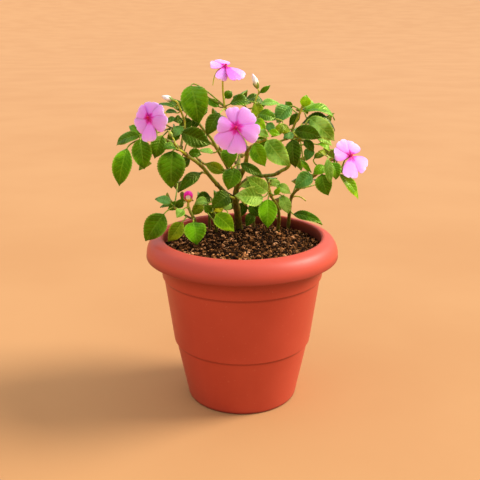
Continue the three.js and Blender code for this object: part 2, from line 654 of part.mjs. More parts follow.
// The buried foot of a stem, straight down from its first point, and the hole that it stands in
function foot({ at, radii: [radius] }) {
  const top = seen(at[0]);
  const bottom = new THREE.Vector3(top.x, top.y, HOLE_FLOOR + GAP);
  const upright = new THREE.Vector3(0, 0, 1);
  const into = stemCurve({ at }).getPointAt(0.04);
  const piece = tube([bottom, top, into], [upright, upright, upright], [radius, radius, radius * 0.95], 6);
  return { piece, hole: { x: top.x, y: top.y, radius: radius + 2 * GAP } };
}

// Petal rows as [share of the length, share of the width]
const PETAL_ROWS = [[0.07, 0.1], [0.38, 0.66], [0.78, 1], [1, 0.56]];
const PETAL_COLUMNS = [-1, -0.5, 0, 0.5, 1];

function petal(eye, tip, width, out, layer) {
  const along = new THREE.Vector3().subVectors(tip, eye);
  const length = along.length();
  along.normalize();
  const up = out.clone().addScaledVector(along, -out.dot(along)).normalize();
  const over = new THREE.Vector3().crossVectors(up, along);
  const rings = PETAL_ROWS.map(([u, share]) => [0.5, -0.5].flatMap((face) => PETAL_COLUMNS.map((v) => {
    const notch = u === 1 ? NOTCH * (v === 0 ? 1 : 0) + 0.04 * Math.abs(v) : 0;
    const lift = PETAL_LAYER * layer + 0.09 * length * u * (1 - u) - 1.1 * v * v * share + face * PETAL;
    return eye.clone()
      .addScaledVector(along, length * (u - notch))
      .addScaledVector(over, (v * share * width) / 2)
      .addScaledVector(up, lift);
  })));
  return plate(rings, PETAL_COLUMNS.length);
}

function bloom(name, { eye, petals, spur }) {
  const centre = seen(eye);
  const { base, out } = seat(name);
  const eyeTop = centre.clone().addScaledVector(out, EYE_RADIUS);
  const throat = tube([eyeTop, centre, base], [out, out, out], [EYE_RADIUS * 0.7, EYE_RADIUS * 1.3, 1.5], 6);
  const pieces = petals.map(([a, h, n, width], i) => petal(centre, seen([a, h, n]), width, out, (i % 3) - 1));
  const hook = new THREE.CatmullRomCurve3([centre.clone().addScaledVector(out, -0.4 * THROAT),
    ...spur.map(seen)]);
  pieces.push(throat, stemTube(hook, [1, 0.45], 0, hook.getLength()));
  return node(name, join(pieces), PETAL_PINK, 0.55);
}

function bud(name, { base, tip, radius, color }) {
  const [start, end] = [seen(base), seen(tip)];
  const shape = [[0, 0.3], [0.12, 0.62], [0.35, 1], [0.62, 0.9], [0.86, 0.5], [1, 0.18]];
  const points = shape.map(([u]) => start.clone().lerp(end, u));
  const along = points.map(() => seat(name).out);
  return node(name, tube(points, along, shape.map(([, girth]) => girth * radius), 8), color, 0.5);
}

// The pot: its section from the axis along the base, up the outside, over the rolled rim and down the
// inside
function pot() {
  const section = [
    [0, 0], [BASE_RADIUS - 2, 0], [BASE_RADIUS, 2], [71.2, 64.3], [73, 64.9], [82.4, 136], [84, 136.6],
    [86, 157],
    [87, 166.5], [91, 168.6], [95.6, 164], [97, 157.4], [98.8, 157], [RIM_RADIUS, 159.6], [99, 166],
    [96, 171.8],
    [91, 176.4], [85.6, RIM_HEIGHT], [MOUTH_RADIUS, RIM_HEIGHT - 0.6], [82, 168], [86 - WALL, 157],
    [83 - WALL, 137], [72 - WALL, 66], [BASE_RADIUS - WALL, FLOOR + 2.4], [BASE_RADIUS - WALL - 2, FLOOR],
    [0, FLOOR],
  ].map(([x, y]) => new THREE.Vector2(x, y));
  let made = solid(new THREE.LatheGeometry(section, POT_SIDES).rotateX(Math.PI / 2));
  for (let i = 0; i < DRAIN_COUNT; i += 1) {
    const angle = (Math.PI * (2 * i + 1)) / DRAIN_COUNT;
    const drill = new THREE.CylinderGeometry(DRAIN_RADIUS, DRAIN_RADIUS, 4 * FLOOR, 12).rotateX(Math.PI / 2);
    drill.translate(DRAIN_CIRCLE * Math.cos(angle), DRAIN_CIRCLE * Math.sin(angle), 0);
    made = made.subtract(solid(drill));
  }
  return node("pot", made, TERRACOTTA, 0.42);
}

// Height of the soil's crumbs above its smooth mound
function crumbs(x, y) {
  return CRUMB_HEIGHT * Math.sin(x * 0.61 + 1.3 * Math.sin(y * 0.37)) * Math.cos(y * 0.53 - x * 0.17);
}

const SOIL_RINGS = [76, 61, 46, 31, 16, 0];

function soil(holes) {
  const side = [
    [0, FLOOR + GAP], [BASE_RADIUS - WALL - 2.6, FLOOR + GAP], [BASE_RADIUS - WALL - 2 * GAP, FLOOR + 2.8],
    [72 - WALL - 2 * GAP, 66.3], [83 - WALL - 2 * GAP, 137.4], [86 - WALL - 3 * GAP, 157],
    [MOUTH_RADIUS - 3 * GAP, SOIL_EDGE_HEIGHT - 1],
  ];
  const top = SOIL_RINGS.map((r) => [r, SOIL_EDGE_HEIGHT + SOIL_MOUND * (1 - (r / 80) ** 2)]);
  const section = [...side, ...top].map(([x, y]) => new THREE.Vector2(x, y));
  const turned = new THREE.LatheGeometry(section, SOIL_SIDES).rotateX(Math.PI / 2);
  const place = turned.attributes.position;
  for (let i = 0; i < place.count; i += 1) {
    const [x, y, z] = [place.getX(i), place.getY(i), place.getZ(i)];
    if (Math.hypot(x, y) < SOIL_RINGS[0] + 1 && z > SOIL_EDGE_HEIGHT - 0.5) place.setZ(i, z + crumbs(x, y));
  }
  let made = solid(turned);
  const deep = SOIL_EDGE_HEIGHT + 3 * SOIL_MOUND - HOLE_FLOOR;
  for (const { x, y, radius } of holes) {
    const drill = new THREE.CylinderGeometry(radius, radius, deep, 8).rotateX(Math.PI / 2);
    made = made.subtract(solid(drill.translate(x, y, HOLE_FLOOR + deep / 2)));
  }
  return node("soil", made, SOIL_BROWN, 1);
}

// How thick the main stem is at a place on it
function thicknessAt(branches, place) {
  let thickness = 0;
  for (const { radii: [thick, thin], curve } of branches) {
    curve.getSpacedPoints(60).forEach((point, i) => {
      if (point.distanceTo(place) < 1.5) thickness = Math.max(thickness, thick + ((thin - thick) * i) / 60);
    });
  }
  return thickness;
}

const model = new THREE.Group();
model.add(pot());

const branches = [TRUNK, ...BRANCHES].map((branch) => ({ ...branch, curve: stemCurve(branch) }));
const trunkFoot = foot(TRUNK);
const mainPieces = branches.map(({ curve, radii }) => stemTube(curve, radii, 0, curve.getLength()));
const holes = [trunkFoot.hole];

// A shoot starts beyond the swollen root that the main stem holds it by
for (const [name, plan] of Object.entries(SHOOTS)) {
  const curve = stemCurve(plan.stems[0]);
  const reach = thicknessAt(branches, curve.getPoint(0)) + 2;
  mainPieces.push(stemTube(curve, plan.stems[0].radii, 0, reach, NODE_SWELL));
  model.add(node(name, shoot(plan, reach + GAP), LEAF_GREEN, 0.5));
}
model.add(node("main_stem", join([trunkFoot.piece, ...mainPieces]), STEM_GREEN, 0.6));

for (const [name, plan] of Object.entries(SOIL_STEMS)) {
  const { piece, hole } = foot(plan.stems[0]);
  holes.push(hole);
  model.add(node(name, shoot(plan, 0).add(piece), LEAF_GREEN, 0.5));
}
model.add(soil(holes));

for (const [name, plan] of Object.entries(BLOOMS)) model.add(bloom(name, plan));
for (const [name, plan] of Object.entries(BUDS)) model.add(bud(name, plan));

export default model;
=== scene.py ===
# %% [markdown]
# # A potted garden balsam
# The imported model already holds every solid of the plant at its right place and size. This script keeps
# that frame and dresses it: each solid gets a finer piece of the same form, with real leaf margins, petals,
# crumbs and finishes. Loading the frame first means that every later step can only add looks, and can't
# move anything.

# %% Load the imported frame
import math
import bmesh
import bpy
import numpy as np
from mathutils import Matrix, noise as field


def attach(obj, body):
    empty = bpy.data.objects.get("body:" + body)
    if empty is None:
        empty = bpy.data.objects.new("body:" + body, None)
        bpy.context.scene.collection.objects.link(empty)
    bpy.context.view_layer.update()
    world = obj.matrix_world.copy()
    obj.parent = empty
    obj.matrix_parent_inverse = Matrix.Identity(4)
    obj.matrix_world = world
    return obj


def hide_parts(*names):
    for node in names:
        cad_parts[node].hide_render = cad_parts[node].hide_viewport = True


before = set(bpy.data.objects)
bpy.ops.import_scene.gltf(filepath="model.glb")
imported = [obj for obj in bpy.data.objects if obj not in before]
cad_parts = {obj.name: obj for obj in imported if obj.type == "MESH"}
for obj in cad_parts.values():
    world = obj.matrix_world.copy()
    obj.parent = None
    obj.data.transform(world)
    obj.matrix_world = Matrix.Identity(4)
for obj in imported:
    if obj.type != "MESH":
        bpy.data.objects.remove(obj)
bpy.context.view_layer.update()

# %% [markdown]
# ## The camera
# The photograph looks down at the pot by about 17 degrees from 0.8 m away. A camera could be tuned by eye,
# but the solids were laid out from one viewpoint, so the same point and the same focal length are used
# here, in millimetres.

# %% Camera
EYE = np.array([0.0, -720.0, 392.0])
LOOK_DOWN = 17.0
LOOK_ASIDE = 0.18
LENS = 54.0
SENSOR = 36.0

camera = bpy.data.objects.new("camera", bpy.data.cameras.new("camera"))
camera.data.lens = LENS
camera.data.sensor_width = SENSOR
camera.location = EYE / 1000
camera.rotation_euler = (math.radians(90 - LOOK_DOWN), 0, math.radians(LOOK_ASIDE))
bpy.context.collection.objects.link(camera)
bpy.context.scene.camera = camera

# %% [markdown]
# ## The plan of the plant
# A balsam is a few thick watery stems that fork, with leafy shoots at the swollen joints. Each place is
# written as [across, height, nearer]: where it is seen on the upright plane through the pot's axis, and how
# far it stands out from that plane towards the camera. These are the driving values of the solids, so both
# agree to a millimetre. Leaves strewn by a rule alone would be shorter to write, but wouldn't make this
# plant. A stem is its radius at both ends and a row of such places, and a tone names each leaf's green: old
# ones are dark, young ones lime, and the pale and blue tones are painted sheen of the sky on leaves that
# reflect it.

# %% Places, blooms, buds, stems and leaves
def stem_of(thick, thin, *places, **ends):
    return {"radii": [thick, thin], "at": list(places), **ends}


BLOOMS = {
    "bloom_left": {
        "eye": [-93, 299, 32],
        "faces": [-0.5, -0.82, 0.2],
        "petals": [
            [-90.5, 315, 29, 18], [-77.5, 304.5, 38, 17], [-75.5, 291, 42, 16], [-95, 275, 40, 17],
            [-106.5, 289, 28, 17], [-104, 305.5, 24, 16],
        ],
        "spur": [[-86, 303, 25], [-80, 306, 16], [-75, 303, 8]],
    },
    "bloom_centre": {
        "eye": [-6.4, 289.5, 58],
        "faces": [0.05, -0.96, 0.28],
        "petals": [
            [-10.5, 310, 52, 13], [9.5, 305, 53, 18.5], [17, 281.5, 59, 18], [-5.5, 262.5, 64, 18],
            [-24.5, 271, 62, 17], [-25, 293, 57, 15],
        ],
        "spur": [[-12, 291, 51], [-16, 286, 42], [-16, 276, 38]],
    },
    "bloom_top": {
        "eye": [-16.5, 349, -8],
        "faces": [0.3, -0.42, 0.86],
        "petals": [
            [-31, 352.5, -6, 14], [-21.5, 336.5, 6, 12], [-5, 335.5, 8, 14], [3.5, 341, -8, 15],
            [-20, 355.5, -22, 16],
        ],
        "spur": [[-23.5, 345, -12], [-27.5, 338, -14], [-29, 330.5, -14]],
    },
    "bloom_right": {
        "eye": [109.5, 261, -4],
        "faces": [0.42, -0.72, 0.52],
        "petals": [
            [93.5, 263.5, 4, 13], [98, 276.5, -8, 14], [112.5, 274, -16, 15], [127, 249, -4, 17],
            [110.5, 238, 10, 16],
        ],
        "spur": [[113, 256, -10], [113, 247, -16], [108, 240, -20]],
    },
}

# Buds: base and tip, and greatest radius
BUDS = {
    "bud_white_left": {"base": [-68.6, 316.3, 8], "tip": [-79.5, 320, 10], "radius": 2.8},
    "bud_white_top": {"base": [15.2, 327.5, -9], "tip": [10, 341.5, -8], "radius": 3},
    "bud_magenta": {"base": [-55.5, 212.4, 12], "tip": [-55, 224.5, 12], "radius": 4.6},
    "bud_green": {"base": [-70, 279.5, 26], "tip": [-74, 286.5, 22], "radius": 1.9},
}

# The trunk, from just above the soil to its top, and the branches fused to it
TRUNK = stem_of(
    4.2, 2, [-3, 184.5, -46], [-4, 191, -42], [-5, 202, -32], [-7, 216, -20], [-6, 226, -14], [-3, 237, -8],
    [1, 246, -2], [4, 256, 4], [5, 266, 8],
)
BRANCHES = [
    stem_of(
        2.4, 1.5, [-7, 216, -20], [-17, 222.5, -14], [-25, 230.5, -8], [-33, 240, 0], [-41, 250, 6],
        [-49, 256.5, 12], [-56, 261, 16], [-62, 267, 18], [-68, 273, 20],
    ),
    stem_of(
        1.5, 1.2, [1, 246, -2], [-6, 246, -8], [-14, 245.5, -12], [-22, 246.5, -14], [-33, 250, -14],
        [-42, 254.5, -12],
    ),
    stem_of(
        1.9, 1.3, [-6, 226, -14], [-10, 238, -22], [-15, 249, -22], [-20, 258, -20], [-25.5, 268, -17],
        [-31, 278, -14], [-38, 286.5, -12], [-43, 293, -12],
    ),
    stem_of(
        2.2, 1.7, [-6, 226, -14], [6, 237, -20], [16, 239.5, -22], [26, 240.5, -22], [33, 241.5, -20],
        [40, 245.5, -18], [46, 249, -16], [49, 256, -14], [50, 265, -12],
    ),
    stem_of(2.2, 1.6, [-3, 237, -8], [-4, 244, -22], [-4, 252, -34], [-3, 260, -46], [-1, 268, -56]),
]

# Shoots on the main stem. A stem that holds a bloom or a bud ends on it, and a bare one bears no leaves. A
# leaf is [base across, height, nearer, tip across, height, nearer, width, arch, turn]: arch is the midrib's
# rise as a share of its length, and turn is how many degrees the upper face is turned away from EYE about
# the midrib. Spots for leaves at the back of the crown are [across, height].
SHOOTS = {
    "shoot_left_tip": {
        "tones": "glossy mid mid mid mid",
        "stems": [
            stem_of(
                1.7, 1.1, [-68, 273, 20], [-77, 277, 22], [-86, 279, 22], [-95, 279.5, 22], [-103, 277, 22],
            ),
            stem_of(1.1, 0.9, [-86, 279, 22], [-86, 286, 18], [-87, 292, 17], holds="bloom_left"),
        ],
        "leaves": [
            [-116.5, 268, 24, -126, 228.5, 28, 18.5, 0.2, 8],
            [-102, 277, 32, -99.5, 246.5, 37, 19.5, 0.12, 0],
            [-103, 281, 20, -127, 271.5, 14, 13, 0.12, 42], [-102, 283, 12, -113, 291, 4, 9, 0.1, 10],
            [-81, 281, 28, -88.5, 257.5, 34, 16, 0.12, -8],
        ],
    },
    "shoot_left_middle": {
        "tones": "mid mid",
        "stems": [
            stem_of(1.5, 1, [-56, 261, 16], [-59, 264, 22], [-63, 266.5, 27], [-66, 267, 30]),
            stem_of(0.9, 0.7, [-63, 266.5, 27], [-65.5, 270, 29], [-68, 274.5, 28], holds="bud_green"),
        ],
        "leaves": [
            [-70, 266, 33, -72.5, 226.5, 42, 27, 0.1, 0], [-67, 269, 32, -80, 268, 41, 10, 0.15, 40],
        ],
    },
    "shoot_left_upper": {
        "tones": "dark blue dark blue mid mid mid",
        "stems": [
            stem_of(
                1.3, 0.8, [-62, 267, 18], [-60, 278, 10], [-57.5, 288, 6], [-57.5, 296, 5], [-60, 303, 6],
                [-62.5, 310, 8], holds="bud_white_left",
            ),
        ],
        "leaves": [
            [-61, 284.5, 12, -31, 272.5, 8, 20, 0.12, -14], [-60, 290, 8, -68, 280, 12, 10, 0.15, 20],
            [-60, 297, 7, -68.5, 296, 10, 9, 0.15, 25], [-67, 299, 0, -77, 294, 2, 6, 0.15, 25],
            [-65, 304, 2, -78, 303, 0, 6, 0.15, 50], [-67, 309.5, 4, -84, 312, 2, 6, 0.12, 50],
            [-62.5, 286, 2, -76.5, 274, 6, 11, 0.12, 10],
        ],
    },
    "shoot_top": {
        "tones": "glossy mid glossy mid mid dark pale olive dark mid",
        "stems": [
            stem_of(1.9, 1.2, [5, 266, 8], [1, 278, 4], [-7, 291, -3], [-14, 302, -8], [-17.5, 311, -9]),
            stem_of(
                1.1, 0.8, [-15.8, 306, -8.5], [-17.5, 311, -9], [-18.7, 320, -10], [-19.2, 330, -10],
                holds="bloom_top", bare=True,
            ),
            stem_of(
                1.2, 0.8, [1, 278, 4], [6, 292, -4], [9.5, 303, -8], [12, 313, -9], [15, 321, -9],
                holds="bud_white_top",
            ),
            stem_of(1.2, 0.9, [1, 278, 4], [-2, 282, 20], [-5, 284, 36], holds="bloom_centre"),
        ],
        "leaves": [
            [-50.5, 330, -8, -43.5, 292, 4, 28, 0.16, 6], [-40, 323, -18, -34.5, 320.5, -22, 7, 0.1, 0],
            [-23, 310, -13, -36.5, 316, -18, 9, 0.3, 20], [-16.8, 318.6, -16, -10, 324.5, -19, 9, 0.2, 0],
            [-12, 313, -8, 9.5, 313, -12, 13.5, 0.25, -38], [3, 317, -18, 22, 311, -24, 11, 0.22, -50],
            [18, 312.5, -12, 38, 312, -12, 10, 0.15, -48], [13, 313, 2, 19.5, 296.5, 8, 12, 0.12, 0],
            [-22.5, 303.5, 16, -36, 281, 22, 15, 0.12, 8], [17.5, 323.5, -8, 27.5, 330.5, -10, 5.5, 0.1, 0],
        ],
    },
    "shoot_trunk": {
        "tones": "mid mid olive dark",
        "stems": [stem_of(1.5, 1, [-3, 237, -8], [-7, 242, 4], [-10, 247, 14], [-12, 252, 22])],
        "leaves": [
            [-8, 248, 16, -15, 225, 26, 19, 0.12, 8], [-12, 270, 30, -13, 248, 38, 16, 0.1, 0],
            [-18, 244, 12, -38, 253.5, 6, 12, 0.12, 15], [-1.5, 252.5, 12, 22, 239, 15, 11, 0.12, -20],
        ],
    },
    "shoot_trunk_low": {
        "tones": "dark",
        "stems": [stem_of(1.4, 1, [-7, 216, -20], [-10, 217.5, -9], [-13, 218.5, 0], [-15, 219, 4])],
        "leaves": [[-13.5, 220.5, 7, -31.5, 206.5, 18, 18, 0.1, 12]],
    },
    "shoot_left_inner": {
        "tones": "mid dark",
        "stems": [
            stem_of(1.2, 0.9, [-42, 254.5, -12], [-45, 257.5, -12], [-48, 261, -12], [-51, 264, -13]),
        ],
        "leaves": [
            [-54, 263, -10, -41, 262, -14, 10, 0.2, -20], [-53, 258.5, -19, -63, 249, -23, 11, 0.14, 20],
        ],
    },
    "shoot_left_low": {
        "tones": "dark dark",
        "stems": [stem_of(1.2, 0.9, [-33, 240, 0], [-35, 241.5, -6], [-38, 243, -12], [-41, 244, -16])],
        "leaves": [
            [-43, 243.5, -15, -66.5, 222.5, 0, 12.5, 0.14, 12], [-46, 240, -24, -60, 230, -26, 9, 0.14, 25],
        ],
    },
    "shoot_upper_low": {
        "tones": "pale dark",
        "stems": [stem_of(1.2, 0.9, [-20, 258, -20], [-20, 262, -14], [-21, 266, -9], [-23, 269, -6])],
        "leaves": [[-29, 264, -6, -44, 266, -5, 8, 0.12, 45], [-23, 272, -4, -20, 286, -2, 10, 0.1, 0]],
    },
    "shoot_upper_inner": {
        "tones": "dark dark dark dark",
        "stems": [stem_of(1.2, 0.9, [-43, 293, -12], [-47, 298, -16], [-52, 301, -20], [-57, 305, -22])],
        "leaves": [
            [-58, 306, -24, -73, 318, -30, 12, 0.1, 30], [-44, 305, -20, -34, 308, -26, 12, 0.12, 0],
            [-50, 296, -22, -64, 288, -26, 14, 0.12, 20], [-45, 298, -8, -50, 287.5, -4, 8, 0.12, 0],
        ],
    },
    "shoot_centre_right": {
        "tones": "pale glossy mid lime pale mid blue olive lime",
        "stems": [
            stem_of(1.6, 1.1, [5, 266, 8], [9, 270, 15], [14, 273, 22], [20, 276, 27], [25, 278, 29]),
            stem_of(1.1, 0.8, [14, 273, 22], [14, 282, 21], [14, 291, 18], [15, 299, 14]),
        ],
        "leaves": [
            [25, 276.5, 34, 48.5, 250, 42, 20, 0.12, 0], [12, 273, 38, 23.5, 249.5, 44, 16, 0.12, 0],
            [15, 279, 18, 30, 261, 22, 15, 0.12, 0], [13, 297, 24, 23.5, 286, 30, 11, 0.15, -10],
            [16, 285, 32, 27, 280, 36, 8, 0.15, -10], [17, 303, 12, 34, 297, 14, 13.5, 0.18, -28],
            [25, 293.5, 18, 33, 284, 22, 9, 0.12, 0], [40.5, 293, 12, 29, 279.5, 17, 9, 0.12, 0],
            [27, 286, 26, 38, 282, 28, 7, 0.12, -10],
        ],
    },
    "shoot_right_upper": {
        "tones": "blue mid olive blue glossy pale lime dark",
        "stems": [
            stem_of(
                1.5, 0.9, [50, 265, -12], [50, 275, -10], [49.5, 284, -8], [52, 292, -6], [56, 301, -4],
                [59, 309, -4], [60.5, 315, -4],
            ),
        ],
        "leaves": [
            [46.5, 310.5, -8, 34, 294, 0, 17, 0.12, 14], [49, 308, -14, 42.5, 315, -18, 7, 0.1, 0],
            [47, 288, -2, 35.5, 283, 4, 11, 0.3, 25], [50, 284, 2, 41, 278.5, 8, 10, 0.15, 10],
            [61, 306, -8, 93, 296.5, -18, 14, 0.22, -62], [61, 309, -12, 73, 312, -18, 10, 0.12, -25],
            [61, 310, -2, 63.5, 321.5, -4, 11, 0.1, 0], [56.5, 303, -10, 46.5, 291, -8, 9, 0.12, 10],
        ],
    },
    "shoot_right_middle": {
        "tones": "dark pale dark dark pale dark lime blue",
        "stems": [stem_of(1.4, 1, [50, 265, -12], [54, 271, -3], [58, 279, 4], [61, 287, 7], [64, 294, 6])],
        "leaves": [
            [53, 286, 12, 80, 279, 20, 15, 0.12, -8], [67, 298, 4, 93.5, 275.5, 12, 18, 0.24, -14],
            [60, 294, -3, 93.5, 286, -10, 17, 0.22, -48], [62, 276.5, 2, 72.5, 264.5, 6, 9, 0.15, -10],
            [74, 281, 2, 90.5, 271, 6, 9, 0.14, -18], [51, 277, 6, 54, 248, 14, 17, 0.1, 0],
            [76, 273, -4, 87.5, 263, -6, 9, 0.34, -45], [69, 269.5, -6, 64.5, 255.5, -2, 11, 0.12, 12],
        ],
    },
    "shoot_back_left": {
        "stems": [
            stem_of(
                1.5, 1, [-4, 252, -34], [-14, 260, -46], [-27, 270, -56], [-41, 280, -60], [-57, 287, -57],
                [-72, 289, -50],
            ),
        ],
        "back": [
            [-24, 300], [-48, 312], [-44, 283], [-66, 254], [-70, 285], [-86, 303], [-96, 282], [-100, 258],
        ],
    },
    "shoot_back_centre": {
        "stems": [
            stem_of(1.5, 1, [-1, 268, -56], [1, 277, -62], [3, 288, -64], [4, 299, -60], [5, 308, -54]),
        ],
        "back": [[-14, 264], [-12, 288], [-2, 320], [12, 288], [18, 312]],
    },
    "shoot_back_right": {
        "stems": [
            stem_of(
                1.5, 1, [-3, 260, -46], [10, 264, -54], [26, 270, -59], [42, 277, -60], [59, 281, -56],
                [74, 281, -48],
            ),
        ],
        "back": [[36, 256], [36, 300], [52, 284], [60, 258], [62, 306], [75, 286], [86, 300], [90, 266]],
    },
}

# Leafy stems that stand in the soil by themselves
SOIL_STEMS = {
    "stem_right": {
        "tones": "pale glossy mid glossy lime blue lime olive olive mid",
        "stems": [
            stem_of(
                2.1, 1.2, [48, 189, -58], [48.5, 196, -54], [49, 205, -46], [49.5, 213.5, -37],
                [52, 221, -28], [57, 226.5, -20], [62, 231, -14], [67.5, 235.5, -8], [73, 240, -4],
                [78, 243.5, 0], [83, 249, 2], [87, 254.5, 4], [91, 259, 4],
            ),
            stem_of(1.1, 0.9, [87, 254.5, 4], [93, 257, -2], [99, 258, -8], holds="bloom_right"),
            stem_of(
                0.8, 0.7, [49.5, 213.5, -37], [53, 218.5, -38], [60, 218, -39], [65.5, 214, -40], bare=True,
            ),
        ],
        "leaves": [
            [86, 257, 12, 89.5, 231, 19, 9, 0.12, 0], [90.5, 254, 6, 95.5, 236, 10, 13.5, 0.25, -25],
            [81, 242, 12, 88.5, 219.5, 18, 17, 0.12, 0], [84, 249, 8, 72, 242, 12, 11, 0.15, 15],
            [99.5, 242, -2, 120, 215.5, -4, 12.5, 0.08, -36], [71, 241.5, 2, 54, 227, 8, 16, 0.12, 8],
            [59.5, 256, -9, 70.5, 243.5, -3, 6, 0.12, -10], [84, 262, 8, 76.5, 265.5, 10, 6, 0.15, 40],
            [72.5, 258.5, -4, 86, 262.5, -8, 8, 0.12, -40], [53, 200, -36, 84, 189, -23, 12, 0.12, -35],
        ],
        "back": [[82, 236], [102, 248], [58, 236]],
    },
    "stem_centre": {
        "tones": "pale pale pale glossy pale pale pale lime",
        "stems": [
            stem_of(
                1.9, 1.2, [37, 184, -40], [38, 191, -35], [38, 199, -26], [36.5, 207, -15], [33, 214, -5],
                [29, 220, 3], [27, 227, 8], [27.5, 234, 8],
            ),
        ],
        "leaves": [
            [26, 224, 11, 4, 240, 17, 15, 0.16, 12], [18, 232.5, 11, -3, 229, 16, 10, 0.14, 12],
            [21, 218, 15, -8, 219.5, 27, 20, 0.1, 6], [26.5, 215.5, 14, 26.5, 184.5, 24, 19, 0.12, 3],
            [41, 219.5, 6, 48.5, 200, 10, 12, 0.12, -8], [35, 230, 6, 50, 221.5, 6, 10, 0.15, -20],
            [29, 232.5, 6, 39.5, 231, 2, 8, 0.15, -20], [33.5, 220.5, 12, 38.5, 228.5, 12, 6, 0.1, 0],
        ],
        "back": [[12, 226], [28, 236], [40, 216]],
    },
    "stem_left_low": {
        "tones": "glossy olive mid pale dark blue mid mid",
        "stems": [
            stem_of(
                1.9, 1.3, [-47, 180, 12], [-48, 187, 13], [-49.5, 194, 14], [-53, 201, 14], [-55, 206, 13],
                holds="bud_magenta",
            ),
            stem_of(1.1, 0.9, [-49.5, 194, 14], [-58, 198, 13], [-66, 203, 11], [-71, 208, 9]),
        ],
        "leaves": [
            [-50.5, 191, 32, -48, 166.5, 44, 22, 0.14, 0], [-62, 191.5, 24, -77.5, 169.5, 30, 15, 0.12, 8],
            [-81, 200, 20, -101.5, 170, 26, 22.5, 0.12, 4], [-61, 205, 24, -68, 196, 30, 10, 0.12, 8],
            [-67.5, 207, 14, -61, 216, 12, 9, 0.12, 0], [-73.5, 211.5, 10, -90, 216, 6, 10, 0.12, 25],
            [-73, 209.5, 6, -85, 207, 4, 5, 0.12, 40], [-64.5, 210.5, 4, -77, 204, 8, 9, 0.12, 10],
        ],
        "back": [[-58, 216], [-76, 214], [-66, 232]],
    },
    "stem_front": {
        "tones": "lime gold mid pale dark pale",
        "stems": [
            stem_of(
                1.6, 1, [-27, 183, -32], [-28, 190, -27], [-28.5, 197, -19], [-28.5, 203, -11],
                [-30, 210, -5], [-31, 216, -6],
            ),
        ],
        "leaves": [
            [-27.5, 199.5, 10, -8, 181, 20, 18, 0.1, -5], [-19.5, 206, 2, -29.5, 202.5, 8, 7, 0.1, 15],
            [-33, 202, 12, -39, 209.5, 12, 9, 0.12, 5], [-11.5, 210.5, 2, -20, 205.5, 6, 8, 0.12, 12],
            [-32.5, 218, -8, -48, 211, -4, 15, 0.2, 12], [-35.5, 212, 4, -49.5, 210, 8, 10, 0.3, 30],
        ],
        "back": [[-24, 218], [-44, 217]],
    },
    "stem_back_low": {
        "tones": "dark olive olive dark dark dark lime",
        "stems": [
            stem_of(1.6, 1, [12, 192, -54], [12, 198, -52], [13, 204, -49], [16, 209, -46], [21, 213, -44]),
            stem_of(1.1, 0.9, [12, 198, -52], [7, 205, -50], [2, 211, -47], [-2, 216, -44]),
        ],
        "leaves": [
            [8, 211, -44, 20.5, 197, -38, 13, 0.12, 0], [21.5, 209, -46, 34, 195, -47, 12, 0.12, -5],
            [26, 212, -38, 41, 204.5, -34, 9, 0.12, -15], [11, 201.5, -40, 4, 186.5, -34, 11, 0.12, 5],
            [3.5, 212, -52, -7.5, 196, -51, 13, 0.12, 0], [-3, 217, -50, -18.5, 204, -53, 13, 0.12, 8],
            [12, 219, -44, 18, 229, -44, 9, 0.12, 0],
        ],
    },
    "stem_back_left": {
        "tones": "dark olive dark",
        "stems": [
            stem_of(
                1.6, 1, [-34, 190, -56], [-34, 197, -53], [-34, 203, -48], [-35, 209, -42], [-38, 214, -36],
            ),
        ],
        "leaves": [
            [-21, 208, -37, -35.5, 196, -39, 13, 0.12, 5],
            [-40.5, 211.5, -24, -52, 198.5, -18, 12, 0.12, 8],
            [-15, 200, -30, -23, 188.5, -24, 12, 0.12, 0],
        ],
    },
}


# %% [markdown]
# ## From the plan to space
# The same rule as in the solids turns a planned place into a point: it slides from the upright plane
# towards the eye.

# %% Planned places as points
def seen(spot):
    across, height, nearer = spot
    on_plane = np.array([across, 0.0, height])
    return on_plane + (EYE - on_plane) * nearer / -EYE[1]


def unit(vector):
    return vector / np.linalg.norm(vector)


print("left bloom's eye:", seen(BLOOMS["bloom_left"]["eye"]).round(1))

# %% [markdown]
# ## A smooth line through points
# Stems and stalks bend softly through their places. A Bezier curve object could do it, but a line worked
# out in code can be measured along its length, which tells where each leaf's stalk starts and how thick the
# stem is there.

# %% Vines
class Vine:
    def __init__(self, points):
        points = np.array(points, dtype=float)
        ends = [2 * points[0] - points[1], *points, 2 * points[-1] - points[-2]]
        share = np.linspace(0, 1, 25)[:-1, None]
        line = []
        for p0, p1, p2, p3 in zip(ends, ends[1:], ends[2:], ends[3:]):
            d0, d1, d2 = (max(np.linalg.norm(b - a) ** 0.5, 1e-2) for a, b in ((p0, p1), (p1, p2), (p2, p3)))
            t1 = ((p1 - p0) / d0 - (p2 - p0) / (d0 + d1) + (p2 - p1) / d1) * d1
            t2 = ((p2 - p1) / d1 - (p3 - p1) / (d1 + d2) + (p3 - p2) / d2) * d1
            line.append(p1 + t1 * share + (3 * (p2 - p1) - 2 * t1 - t2) * share**2
                        + (2 * (p1 - p2) + t1 + t2) * share**3)
        self.line = np.concatenate([*line, points[-1:]])
        steps = np.linalg.norm(np.diff(self.line, axis=0), axis=1)
        self.run = np.concatenate([[0], np.cumsum(steps)])
        self.length = self.run[-1]

    def at(self, distances):
        return np.stack([np.interp(distances, self.run, self.line[:, k]) for k in range(3)], axis=-1)


trunk_line = Vine([seen(spot) for spot in TRUNK["at"]])
print("the trunk is", round(trunk_line.length), "mm long above the soil")

# %% [markdown]
# ## Gathering surfaces into one piece
# A shoot has dozens of blades and stalks. Making an object of each would be slow and would scatter the
# shoot, so Clay collects points, faces, a map for the leaf pattern and a tint per point, and turns them
# into one mesh.

